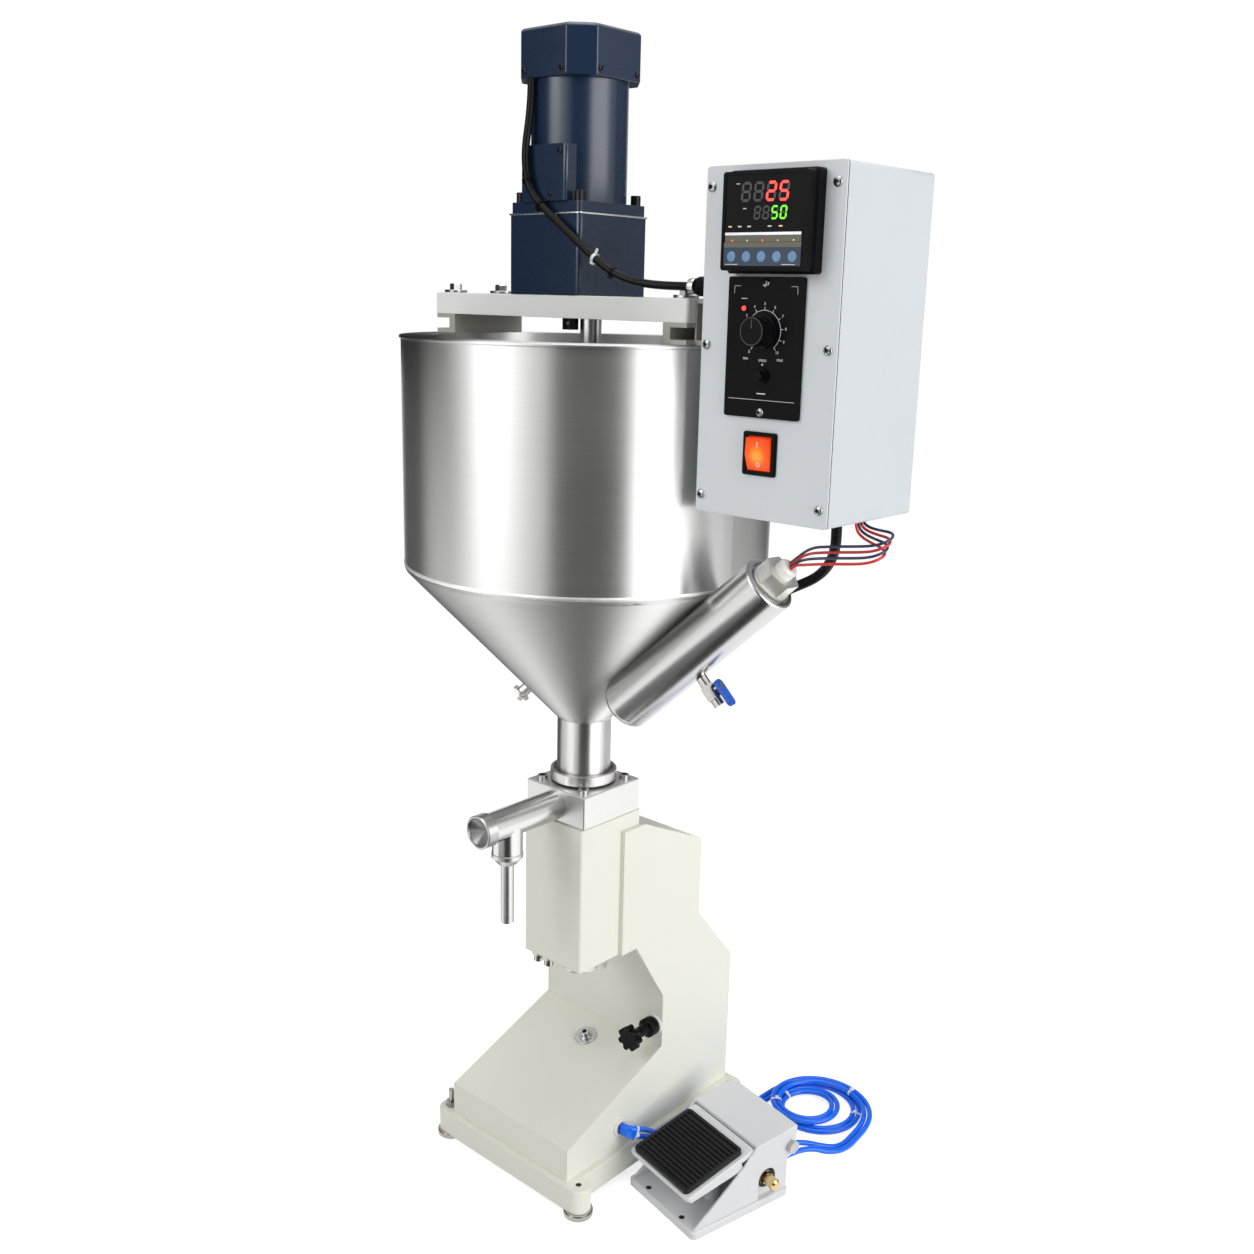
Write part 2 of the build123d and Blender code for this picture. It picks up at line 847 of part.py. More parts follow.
def make_valve_block():
    body = block((-block_half_x, block_half_x), (-block_half_y, block_half_y), (head_top, block_top))
    body = chamfer(body.edges(), 1.0)
    body -= disc(chamber_radius, head_top - 1, inlet_seat)
    mouth_low = inlet_seat + inlet_seat_thickness
    body -= turned(
        (0, inlet_seat - 1), (inlet_seat_radius, inlet_seat - 1), (inlet_seat_radius, mouth_low),
        (inlet_mouth_radius, block_top), (inlet_mouth_radius, block_top + 1), (0, block_top + 1),
    )
    body -= facing_front(0, 0, tube_z) * disc(outlet_seat_radius, 0, block_half_y + 1)
    spider_bottom = head_top + spider_low
    spider = disc(spider_hub, spider_bottom, spider_top)
    for number in range(3):
        arm = block((0, chamber_radius + 1), (-spider_arm / 2, spider_arm / 2), (spider_bottom, spider_top))
        spider += Rot(0, 0, 90 + number * 120) * arm
    return body + spider - disc(stem_radius + run_gap, head_top, spider_top + 1)


poppet_top = inlet_seat - move_gap
poppet_low = poppet_top - poppet_thickness


def make_inlet_poppet():
    stem_low = head_top + poppet_lift - top_space + move_gap
    return disc(poppet_radius, poppet_low, poppet_top) + disc(stem_radius, stem_low, poppet_top)


def make_inlet_spring():
    return helix_spring(inlet_spring_radius, spring_wire, spider_top + seat_gap, poppet_low - seat_gap, 4)


outlet_seat = tube_z - outlet_seat_drop
outlet_top = outlet_seat - move_gap
outlet_low = outlet_top - poppet_thickness


def make_discharge_tube():
    tube = facing_front(0, 0, tube_z) * disc(tube_radius, block_half_y, -tube_end)
    branch = Pos(0, nozzle_y) * disc(branch_radius, branch_end, tube_z)
    tube += branch
    tube -= facing_front(0, 0, tube_z) * disc(tube_bore, block_half_y - 1, -tube_end + 1)
    tube -= Pos(0, nozzle_y) * disc(branch_bore, branch_end - 1, outlet_seat)
    return tube - Pos(0, nozzle_y) * disc(outlet_seat_radius, outlet_seat - 1, tube_z)


def make_discharge_cap():
    cone_mouth = end_cap_radius - end_cap_lip
    cap = turned(
        (0, -end_cap_plug), (tube_bore - seat_gap, -end_cap_plug), (tube_bore - seat_gap, 0),
        (end_cap_radius, 0), (end_cap_radius, end_cap_length - 0.8), (end_cap_radius - 0.8, end_cap_length),
        (cone_mouth, end_cap_length), (cone_mouth - 0.6, end_cap_length - 2.0), (0, 1.0),
    )
    return facing_front(0, tube_end, tube_z) * cap


def make_outlet_poppet():
    poppet = disc(outlet_poppet_radius, outlet_low, outlet_top)
    return Pos(0, nozzle_y) * (poppet + disc(stem_radius, outlet_low - outlet_stem, outlet_low + 1))


def make_outlet_spring():
    spring = helix_spring(outlet_spring_radius, spring_wire, branch_end + seat_gap, outlet_low - seat_gap, 4)
    return Pos(0, nozzle_y) * spring


def make_nozzle():
    collar_low = branch_end - nozzle_collar
    cone_low = collar_low - nozzle_cone
    nozzle = turned(
        (nozzle_bore, branch_end), (nozzle_collar_radius - 1, branch_end),
        (nozzle_collar_radius, branch_end - 1), (nozzle_collar_radius, collar_low + 1),
        (nozzle_collar_radius - 1, collar_low),
        (nozzle_radius + 3, cone_low), (nozzle_radius, cone_low), (nozzle_radius, nozzle_end),
        (nozzle_bore, nozzle_end),
    )
    return Pos(0, nozzle_y) * nozzle


# Hopper

def make_union_ring():
    top = union_bottom + union_height
    return turned(
        (neck_radius + seat_gap, union_bottom), (union_radius - 0.8, union_bottom),
        (union_radius, union_bottom + 0.8), (union_radius, top - 0.8), (union_radius - 0.8, top),
        (union_radius - union_lip, top), (union_radius - union_lip, union_bottom + union_floor),
        (neck_radius + seat_gap, union_bottom + union_floor),
    )


def make_union_seal():
    seal = disc(union_radius - 1, block_top, union_bottom)
    return seal - disc(neck_radius - neck_wall, block_top - 1, union_bottom + 1)


wall_run = hypot(1, cone_slope)
vessel_outer = vessel_radius + hopper_sheet


def cone_height(radius, inward):
    """Height at a radius on the cone's outside, moved inward square to it."""
    return cone_bottom + (radius - neck_radius) * cone_slope + inward * wall_run


def make_hopper_jacket():
    """Drum and cone of the heating jacket, welded above the knuckle."""
    inside = jacket_radius - hopper_sheet
    low = neck_radius + seat_gap
    weld = cone_top + knuckle
    drum = disc(jacket_radius, weld, hopper_top - rim_thickness) - disc(inside, weld, hopper_top)
    face = make_face(Polyline(
        (low, cone_height(low, 0)), (jacket_radius, cone_top), (jacket_radius, weld), (inside, weld),
        (inside, cone_height(inside, hopper_sheet)), (low, cone_height(low, hopper_sheet)), close=True,
    ))
    outer_corner = face.vertices().sort_by_distance((jacket_radius, cone_top))[0]
    face = fillet(outer_corner, knuckle)
    return Compound([drum, revolve(Plane.XZ * face, Axis.Z)])


def make_hopper_vessel():
    """Neck, cone and drum of the inner vessel, each welded on the one below."""
    bore = neck_radius - neck_wall
    inner_space = jacket_space + hopper_sheet
    rim_low = hopper_top - rim_thickness
    neck_top = cone_height(neck_radius, jacket_space)
    drum_low = cone_height(vessel_radius, inner_space)
    neck = disc(neck_radius, union_bottom, neck_top) - disc(bore, union_bottom - 1, neck_top + 1)
    cone_low_radius = neck_radius + (neck_top - cone_height(neck_radius, inner_space)) / cone_slope
    cone = turned(
        (cone_low_radius, neck_top), (neck_radius, neck_top),
        (vessel_outer, cone_height(vessel_outer, jacket_space)), (vessel_outer, drum_low),
        (vessel_radius, drum_low),
    )
    face = make_face(Polyline(
        (vessel_radius, drum_low), (vessel_outer, drum_low), (vessel_outer, rim_low),
        (rim_radius, rim_low), (rim_radius, hopper_top), (vessel_radius, hopper_top), close=True,
    ))
    rim_corners = face.vertices().sort_by(Axis.X)[-2:]
    face = fillet(rim_corners, rim_round)
    return Compound([neck, cone, revolve(Plane.XZ * face, Axis.Z)])


# Heater and jacket fittings


def beside_cone(radius, azimuth, off_cone):
    """Place at a radius and azimuth, at a distance square to the line of the cone."""
    around = radians(azimuth)
    return Vector(cos(around) * radius, sin(around) * radius, cone_height(radius, -off_cone))


heater_low = beside_cone(jacket_radius - heater_low_inside, heater_low_azimuth, heater_low_off_cone)
heater_high = beside_cone(jacket_radius + heater_high_outside, heater_high_azimuth, heater_high_off_cone)
heater_way = (heater_high - heater_low).normalized()
heater_length = (heater_high - heater_low).length
heater_plane = Plane(origin=heater_low, x_dir=(0, 1, 0), z_dir=heater_way)
plug_face = heater_length - plug_seat_depth
plug_hex_top = plug_face + plug_flange + plug_hex_length
ceramic_top = plug_hex_top + ceramic_length
probe_base = heater_low + heater_way * (heater_length - probe_from_end)
probe_end = probe_base + probe_way * probe_reach


def cone_solid(outward):
    """The space that the jacket's cone and drum fill, grown outward."""
    grown = -outward * wall_run
    low = neck_radius + outward
    return turned(
        (0, cone_bottom + grown), (low, cone_height(low, 0) + grown),
        (jacket_radius + outward, cone_height(jacket_radius + outward, 0) + grown),
        (jacket_radius + outward, hopper_top), (0, hopper_top),
    )


def make_heater_tube():
    inside = heater_radius - heater_wall
    body = disc(heater_radius, 0, heater_length)
    body = fillet(body.faces().sort_by(Axis.Z)[0].edges(), heater_round)
    body = fillet(body.faces().sort_by(Axis.Z)[-1].edges(), heater_ring_round)
    body = heater_plane.location * body - cone_solid(seat_gap)
    cavity = disc(inside, heater_wall, plug_face - plug_spigot)
    cavity = fillet(cavity.faces().sort_by(Axis.Z)[0].edges(), heater_round - heater_wall)
    cavity += disc(plug_spigot_radius + seat_gap, plug_face - plug_spigot - 1, plug_face + 1)
    cavity += disc(heater_mouth, plug_face, heater_length + 1)
    boss = Plane(origin=probe_base, z_dir=probe_way).location * disc(probe_radius, 0, probe_reach)
    boss -= heater_plane.location * disc(inside + 1, 0, heater_length + probe_reach)
    return body - heater_plane.location * cavity + boss


def make_jacket_plugs():
    heater = disc(plug_flange_radius, plug_face + seat_gap, plug_face + plug_flange)
    heater += hexagon(plug_hex_radius, plug_face + plug_flange - 1, plug_hex_top)
    heater += disc(plug_spigot_radius, plug_face - plug_spigot, plug_face + 1)
    for side in (-1, 1):
        rod = Pos(0, side * element_spacing / 2) * disc(
            element_radius, plug_face - plug_spigot - element_length, plug_face - plug_spigot + 1
        )
        heater += rod
    stub_top = fill_stub
    fill = disc(fill_stub_radius, seat_gap, stub_top)
    fill += disc(fill_washer_radius, stub_top - 0.1, stub_top + fill_washer)
    fill += hexagon(fill_hex_radius, stub_top + fill_washer - 0.1, stub_top + fill_washer + fill_hex)
    fill_height = cone_bottom + fill_rise
    fill_radius = neck_radius + fill_rise / cone_slope
    around = radians(fill_azimuth)
    outward = Vector(cos(around) * cone_slope, sin(around) * cone_slope, -1).normalized()
    place = Plane(origin=(cos(around) * fill_radius, sin(around) * fill_radius, fill_height), z_dir=outward)
    fill = place.location * fill - cone_solid(seat_gap)
    return Compound([heater_plane.location * heater, fill])


def make_ceramic_insulator():
    ceramic = turned(
        (0, plug_hex_top), (ceramic_radius, plug_hex_top), (ceramic_radius, ceramic_top - ceramic_tip),
        (ceramic_radius - ceramic_tip, ceramic_top), (0, ceramic_top),
    )
    return heater_plane.location * ceramic


level_way = Vector(heater_way.X, heater_way.Y, 0).normalized()
drain_way = level_way * heater_way.Z - Vector(0, 0, hypot(heater_way.X, heater_way.Y))
drain_base = heater_low + heater_way * (heater_length * drain_along) + drain_way * heater_radius
drain_plane = Plane(origin=drain_base, x_dir=heater_way, z_dir=drain_way)
drain_pivot = drain_stub + drain_body / 2


def make_drain_valve():
    valve = disc(drain_stub_radius, seat_gap, drain_stub + 1)
    valve += hexagon(drain_body_radius, drain_stub, drain_stub + drain_body)
    valve += disc(drain_stub_radius, drain_stub + drain_body - 1, drain_stub + drain_body + drain_outlet)
    stem = Pos(0, 0, drain_pivot) * Rot(0, 90, 0)
    valve += stem * disc(drain_stem_radius, 0, lever_offset + lever_thickness + 1)
    return drain_plane.location * valve


def make_drain_lever():
    low = drain_pivot - lever_behind
    lever = block(
        (lever_offset, lever_offset + lever_thickness), (-lever_width / 2, lever_width / 2),
        (low, low + lever_length),
    )
    lever = fillet(lever.edges().filter_by(Axis.X), lever_width / 2 - 0.5)
    lever -= Pos(0, 0, drain_pivot) * Rot(0, 90, 0) * disc(drain_stem_radius + run_gap, 0, 2 * lever_offset)
    return drain_plane.location * lever


# Mixer

def make_arm_standoffs():
    outer = Rectangle(standoff_width, standoff_height)
    slot_height = standoff_height - 2 * standoff_flange
    slot_width = standoff_width - standoff_web
    channel = outer - Pos(standoff_web / 2 + 0.01, 0) * Rectangle(slot_width, slot_height)
    bar = extrude(Plane.XZ * channel, arm_half_width, both=True)
    height = hopper_top + standoff_height / 2
    left_x = arm_left + 2 + standoff_width / 2
    right_x = arm_right - standoff_width / 2
    return [Pos(left_x, 0, height) * Rot(0, 0, 180) * bar, Pos(right_x, 0, height) * bar]


def make_mixer_arm():
    arm = block((arm_left, arm_right), (-arm_half_width, arm_half_width), (arm_bottom, arm_top))
    arm = fillet(arm.edges().filter_by(Axis.Z), 3.0)
    arm = chamfer(arm.faces().sort_by(Axis.Z)[-1].edges(), 0.8)
    return arm - disc(shaft_radius + shaft_hole_gap, arm_bottom - 1, arm_top + 1)


def make_gearbox():
    half = gearbox_size / 2
    body = block((gearbox_x - half, gearbox_x + half), (-half, half), (arm_top, flange_bottom))
    body = fillet(body.edges().filter_by(Axis.Z), gearbox_corner)
    return body - disc(shaft_radius + run_gap, arm_top - 1, arm_top + gear_socket)


def make_motor_body():
    half = flange_size / 2
    body = block((gearbox_x - half, gearbox_x + half), (-half, half), (flange_bottom, motor_bottom))
    body = fillet(body.edges().filter_by(Axis.Z), gearbox_corner)
    body += Pos(gearbox_x, 0) * disc(motor_radius, motor_bottom - 1, motor_top)
    return body + Pos(gearbox_x, 0) * disc(end_bell_radius, motor_top - 1, motor_top + end_bell_height)


def fan_outline(inset):
    half = fan_size / 2 - inset
    cut = fan_chamfer - inset * (2 - sqrt(2))
    corners = []
    for x, y in ((1, 1), (-1, 1), (-1, -1), (1, -1)):
        pair = [(x * half, y * (half - cut)), (x * (half - cut), y * half)]
        corners += pair if x * y > 0 else pair[::-1]
    return make_face(Polyline(*corners, close=True))


def make_fan_cover():
    cover = extrude(fan_outline(0), fan_height)
    cover = chamfer(cover.faces().sort_by(Axis.Z)[-1].edges(), 2.5)
    cover -= Pos(0, 0, fan_wall) * extrude(fan_outline(fan_wall), fan_height - 2 * fan_wall)
    cover -= disc(end_bell_radius + seat_gap, -1, fan_wall + 1)
    return Pos(gearbox_x, 0, motor_top) * cover


def make_capacitor_cover():
    cover = block(
        (capacitor_left, capacitor_right), (capacitor_front, capacitor_back),
        (motor_bottom, motor_bottom + capacitor_height),
    )
    cover = fillet(cover.edges().filter_by(Axis.Z), capacitor_corner)
    return cover - Pos(gearbox_x, 0) * disc(motor_radius + seat_gap, motor_bottom - 1, motor_top)


def make_mixer_shaft():
    shaft = disc(shaft_radius, shaft_bottom, arm_top + gear_socket - move_gap)
    inner = jacket_space + hopper_sheet
    reach = vessel_radius - paddle_clear
    corner = cone_height(reach + paddle_clear, inner)
    foot_reach = neck_radius + (paddle_foot - cone_height(neck_radius, inner)) / cone_slope - paddle_clear
    outer = make_face(Polyline(
        (-foot_reach, paddle_foot), (foot_reach, paddle_foot), (reach, corner), (reach, paddle_top),
        (-reach, paddle_top), (-reach, corner), close=True,
    ))
    paddle = outer - offset(outer, -paddle_bar, kind=Kind.INTERSECTION)
    shaft += extrude(Plane.XZ * paddle, paddle_thickness / 2, both=True)
    for low in (paddle_foot, paddle_top - paddle_bar):
        shaft += disc(paddle_hub, low - 2, low + paddle_bar + 2)
    return shaft


# Control box

def make_box_bracket():
    half = bracket_half_width
    outer = block((arm_right, box_left), (-half, half), (hopper_top, arm_top))
    pocket_half = (box_left - arm_right) / 2 - bracket_wall / 2
    middle = (arm_right + box_left) / 2
    pocket = block(
        (middle - pocket_half, middle + pocket_half), (-half - 1, half - bracket_wall),
        (hopper_top + bracket_wall, arm_top - bracket_wall),
    )
    return outer - pocket


def make_control_box():
    box = block((box_left, box_right), (box_front, box_back), (box_bottom, box_top))
    box = fillet(box.edges().filter_by(Axis.Y), box_corner)
    box -= block(
        (box_left + box_wall, box_right - box_wall), (box_front - 1, box_back - box_wall),
        (box_bottom + box_wall, box_top - box_wall),
    )
    box -= Pos(lead_hole_x, lead_hole_y) * disc(lead_hole_radius, box_bottom - 1, box_bottom + box_wall + 1)
    return box


def make_cable_gland():
    gland = turned(
        (0, 0), (gland_radius, 0), (gland_radius, gland_length - 4), (gland_radius - 1.2, gland_length),
        (ferrule_radius, gland_length), (ferrule_radius, gland_length + ferrule_length),
        (motor_lead_diameter / 2 + seat_gap, gland_length + ferrule_length),
        (motor_lead_diameter / 2 + seat_gap, gland_length + ferrule_length - gland_pocket),
        (0, gland_length + ferrule_length - gland_pocket),
    )
    return Pos(box_left, gland_y, gland_z) * Rot(0, -90, 0) * gland


def make_front_panel():
    panel = block((box_left, box_right), (panel_face, box_front), (box_bottom, box_top))
    panel = fillet(panel.edges().filter_by(Axis.Y), box_corner)
    through = facing_front(0, box_front + 1, 0)
    cut = Pos(controller_x, controller_z) * Rectangle(controller_case_width + 1, controller_case_height + 1)
    cut += Pos(speed_x, speed_knob_z) * Circle(speed_shaft_radius + 2)
    cut += Pos(speed_x, button_z) * Circle(button_radius + 2)
    cut += Pos(speed_x, rocker_z) * Rectangle(rocker_width + 2 * move_gap, 2 * rocker_half_height + 2)
    return panel - through * extrude(cut, panel_thickness + 2)


def make_temperature_controller():
    back = RectangleRounded(controller_width, controller_height, 2.5)
    face_width = controller_width - 2 * controller_inset
    face_height = controller_height - 2 * controller_inset
    face = RectangleRounded(face_width, face_height, 2.5)
    body = extrude(back, controller_step)
    body += Pos(0, 0, controller_step) * loft([
        back, Pos(0, 0, controller_inset) * face,
    ])
    front = controller_step + controller_inset
    body += Pos(0, 0, front) * extrude(face, controller_proud - front)
    body += Pos(0, 0, -controller_case_depth) * extrude(
        Rectangle(controller_case_width, controller_case_height), controller_case_depth + 1
    )
    window = Pos(0, window_rise, controller_proud - window_depth) * extrude(
        Rectangle(window_width, window_height), 2
    )
    body -= window
    for x in key_places():
        hole_low = controller_proud - key_height - key_travel
        body -= Pos(x, key_z - controller_z) * disc(key_radius + key_gap, hole_low, controller_proud + 1)
    return facing_front(controller_x, panel_face, controller_z) * body


def key_places():
    """Places of the keys across the controller's face."""
    return [(number - (key_count - 1) / 2) * key_spacing for number in range(key_count)]


def make_controller_key(x):
    low = controller_proud + key_proud - key_height
    key = disc(key_radius, low, controller_proud + key_proud)
    key = fillet(key.faces().sort_by(Axis.Z)[-1].edges(), 0.8)
    return facing_front(controller_x + x, panel_face, key_z) * key


def make_speed_panel():
    middle = (speed_high + speed_low) / 2
    panel = extrude(RectangleRounded(speed_width, speed_height, 2), speed_thickness)
    panel += Pos(0, button_z - middle) * disc(button_ring_radius, 0, speed_thickness + button_ring_height)
    ring_top = speed_thickness + button_ring_height
    panel -= Pos(0, button_z - middle) * disc(button_radius + seat_gap, -1, ring_top + 1)
    panel -= Pos(0, speed_knob_z - middle) * disc(speed_shaft_radius + run_gap, -1, speed_thickness + 1)
    return facing_front(speed_x, panel_face, middle) * panel


def make_speed_knob():
    low = speed_thickness + move_gap
    skirt_top = low + speed_knob_skirt_height
    outline = Circle(speed_knob_radius)
    for number in range(speed_knob_flutes):
        flute = Pos(speed_knob_radius + speed_flute_radius * 0.3, 0) * Circle(speed_flute_radius)
        outline -= Rot(0, 0, number * 360 / speed_knob_flutes) * flute
    knob = Pos(0, 0, skirt_top) * extrude(outline, speed_knob_height - speed_knob_skirt_height)
    knob += turned(
        (0, low), (speed_knob_skirt, low), (speed_knob_skirt, skirt_top - 1),
        (speed_knob_radius - 1, skirt_top + 0.5), (0, skirt_top + 0.5),
    )
    knob += disc(speed_shaft_radius, -speed_shaft_length, low + 1)
    return facing_front(speed_x, panel_face, speed_knob_z) * knob


def make_reset_button():
    top = speed_thickness + button_ring_height + button_proud
    button = disc(button_radius, top - button_length, top)
    button = fillet(button.faces().sort_by(Axis.Z)[-1].edges(), 1.2)
    return facing_front(speed_x, panel_face, button_z) * button


def make_rocker_frame():
    frame = extrude(RectangleRounded(rocker_frame_width, rocker_frame_height, 2), rocker_frame_proud)
    frame = chamfer(frame.faces().sort_by(Axis.Z)[-1].edges(), 0.8)
    opening_width = rocker_width + 2 * move_gap
    opening_height = 2 * rocker_half_height + 1.6
    frame -= Pos(0, 0, -1) * extrude(Rectangle(opening_width, opening_height), rocker_frame_proud + 2)
    return facing_front(speed_x, panel_face, rocker_z) * frame


def make_rocker():
    half = rocker_half_height
    profile = make_face(Polyline(
        (-half, -rocker_depth), (half, -rocker_depth), (half, rocker_edge), (0, rocker_crown),
        (-half, rocker_edge), close=True,
    ))
    rocker = extrude(Plane.YZ * profile, rocker_width / 2, both=True)
    return facing_front(speed_x, panel_face, rocker_z) * Rot(rocker_tilt, 0, 0) * rocker


# Foot pedal

pedal_place = Pos(pedal_x, pedal_y, 0) * Rot(0, 0, pedal_yaw)
treadle_half = pedal_half - pedal_wall - treadle_gap
treadle_rise = (treadle_back_z - treadle_front_z) / (treadle_back_v - treadle_front_v)
treadle_tilt = degrees(atan(treadle_rise))
treadle_run = hypot(treadle_back_v - treadle_front_v, treadle_back_z - treadle_front_z)
treadle_place = Pos(0, treadle_front_v, treadle_front_z) * Rot(treadle_tilt, 0, 0)
pin_reach = pedal_half - pin_cover
valve_face = pedal_half - silencer_port_depth


def treadle_underside(v):
    """Height of the treadle plate's underside, at a place from front to back."""
    top = treadle_front_z + (v - treadle_front_v) * treadle_rise
    return top - treadle_thickness / cos(radians(treadle_tilt))


def pedal_rear(u):
    """Place on the pedal's rear wall, local Z out of it."""
    return Pos(u, pedal_back[0], pedal_fitting_z) * Rot(-90, 0, 0)


def make_pedal_shell():
    """Two side walls, a hood over their back and a rear wall that steps in below it."""
    floor = pedal_base_height
    back, back_top = pedal_back
    outside = profile_across((
        (pedal_wall_start, floor - 1), pedal_wall_mid, pedal_hood_front, pedal_hood_back,
        pedal_overhang, pedal_back, (back, floor - 1),
    ), -pedal_half, pedal_half)
    shown = outside.edges().filter_by(lambda edge: edge.center().Z > floor)
    outside = fillet(shown, pedal_edge)
    mouth, mouth_top = pedal_hood_front
    hood_end, hood_top = pedal_hood_back
    overhang, overhang_low = pedal_overhang
    inside_half = pedal_half - pedal_wall
    inside = profile_across((
        (pedal_base_front, floor), (pedal_base_front, hood_top + 1), (mouth, hood_top + 1),
        (mouth, mouth_top - pedal_hood_thickness), (hood_end - pedal_wall, hood_top - pedal_hood_thickness),
        (overhang - pedal_wall, overhang_low + pedal_wall), (back - pedal_wall, back_top + pedal_wall),
        (back - pedal_wall, floor),
    ), -inside_half, inside_half)
    return outside - inside


def make_pedal_housing():
    floor = pedal_base_height
    length = pedal_base_back - pedal_base_front
    base = extrude(RectangleRounded(2 * pedal_base_half, length, 6), floor)
    base = Pos(0, pedal_base_front + length / 2, 0) * base
    base = chamfer(base.faces().sort_by(Axis.Z)[-1].edges(), 1.5)
    valve = block((valve_left, valve_face), (valve_front, pedal_back[0] - 1), (floor - 1, valve_top))
    boss = Pos(plunger_u, plunger_v) * disc(plunger_boss_radius, floor - 1, plunger_boss_top)
    bore = Pos(plunger_u, plunger_v) * disc(plunger_radius + run_gap, floor, plunger_boss_top + 1)
    housing = base + make_pedal_shell() + valve + boss - bore
    for u in (-pedal_bolt_u, pedal_bolt_u):
        housing -= Pos(u, pedal_bolt_v) * disc(pedal_bolt_hole, -1, floor + 1)
    pin_hole = Pos(-pin_reach, pivot_v, pivot_z) * Rot(0, 90, 0)
    housing -= pin_hole * disc(pivot_radius + run_gap, 0, 2 * pin_reach)
    arch = Pos(valve_face, silencer_v, silencer_z) * Rot(0, 90, 0)
    housing -= arch * disc(silencer_port, 0, silencer_port_depth + 1)
    housing -= block(
        (valve_face, pedal_half + 1),
        (silencer_v - silencer_port, silencer_v + silencer_port),
        (floor, silencer_z),
    )
    return pedal_place * housing


def make_pedal_plate():
    run = treadle_run
    plate = block((-treadle_half, treadle_half), (0, run), (-treadle_thickness, 0))
    plate = fillet(plate.edges().filter_by(Axis.Z), treadle_corner)
    plate = chamfer(plate.faces().sort_by(Axis.Z)[-1].edges(), 1.0)
    top = 1 - treadle_thickness
    skirt = (
        (skirt_front[0], top), (skirt_front[0], -skirt_front[1]),
        (skirt_back[0], -skirt_back[1]), (skirt_back[0], top),
    )
    plate += profile_across(skirt, -treadle_half, skirt_wall - treadle_half)
    plate += profile_across(skirt, treadle_half - skirt_wall, treadle_half)
    plate = treadle_place * plate
    for side in (-1, 1):
        middle = side * lug_u
        lug_side = middle - lug_thickness / 2
        lug = block(
            (lug_side, lug_side + lug_thickness), (pivot_v - lug_radius, pivot_v + lug_radius / 2),
            (pivot_z, treadle_underside(pivot_v) + 1),
        )
        lug += Pos(lug_side, pivot_v, pivot_z) * Rot(0, 90, 0) * disc(lug_radius, 0, lug_thickness)
        plate += lug
    pivot = Pos(-pedal_half, pivot_v, pivot_z) * Rot(0, 90, 0)
    return pedal_place * (plate - pivot * disc(pivot_radius + run_gap, 0, 2 * pedal_half))


def make_pedal_pad():
    length = treadle_run - pad_front_margin - pad_back_margin
    width = 2 * (treadle_half - pad_side_margin)
    pad = extrude(RectangleRounded(width, length, pad_corner), pad_thickness + pad_groove_depth)
    pad = Pos(0, pad_front_margin + length / 2, 0) * pad
    grooves = pad_ridges + 1
    step = (length - 2 * pad_border) / grooves
    groove = block(
        (pad_border - width / 2, width / 2 - pad_border), (-pad_groove_width / 2, pad_groove_width / 2),
        (pad_thickness, pad_thickness + pad_groove_depth + 1),
    )
    for number in range(grooves):
        pad -= Pos(0, pad_front_margin + pad_border + (number + 0.5) * step) * groove
    return pedal_place * treadle_place * pad


def make_pedal_pin():
    reach = pin_reach - pin_end_gap
    return pedal_place * Pos(-reach, pivot_v, pivot_z) * Rot(0, 90, 0) * disc(pivot_radius, 0, 2 * reach)


def make_pedal_spring():
    high = treadle_underside(spring_v - pedal_spring_radius - pedal_spring_wire) - seat_gap
    spring = helix_spring(pedal_spring_radius, pedal_spring_wire, pedal_base_height + seat_gap, high, 6)
    return pedal_place * Pos(0, spring_v) * spring


def make_pedal_plunger():
    high = treadle_underside(plunger_v - plunger_radius) - plunger_gap
    plunger = disc(plunger_radius, high - plunger_length, high)
    return pedal_place * Pos(plunger_u, plunger_v) * plunger


def make_silencer():
    silencer = hexagon(silencer_hex, 0, silencer_hex_length)
    silencer += turned(
        (0, silencer_hex_length - 1), (silencer_radius, silencer_hex_length - 1),
        (silencer_radius, silencer_length - 2), (silencer_radius - 2, silencer_length), (0, silencer_length),
    )
    return pedal_place * Pos(valve_face, silencer_v, silencer_z) * Rot(0, 90, 0) * silencer


# Leads and hoses

def make_motor_lead():
    start = (*motor_lead_start, motor_top)
    end = (box_left - gland_length - ferrule_length + gland_pocket, gland_y, gland_z)
    return cord("motor_lead", [start, *motor_lead_route, end], motor_lead_diameter)


def make_heater_leads():
    tip = heater_low + heater_way * ceramic_top
    leads = []
    for number in range(heater_wire_count):
        shift = heater_wire_step * (number - (heater_wire_count - 1) / 2)
        start = tip + (shift - heater_way * shift.dot(heater_way)) * heater_wire_gather
        points = [start, start + heater_way * 6]
        level = Vector(shift.X, shift.Y, 0)
        rise = Vector(0, 0, shift.Z)
        for place, fan in zip(heater_wire_route, heater_wire_fan):
            points.append(Vector(*place) + level + rise * fan)
        points.append(Vector(*heater_wire_exit, box_bottom + lead_inside_box) + level)
        leads.append(cord(f"heater wire {number + 1}", points, heater_wire_diameter))
    into_probe = probe_end + probe_way * probe_lead_in
    points = [(*sheath_exit, box_bottom + lead_inside_box), *sheath_route, into_probe, probe_end]
    leads.append(cord("heater sheath", points, sheath_diameter))
    return Compound(leads)


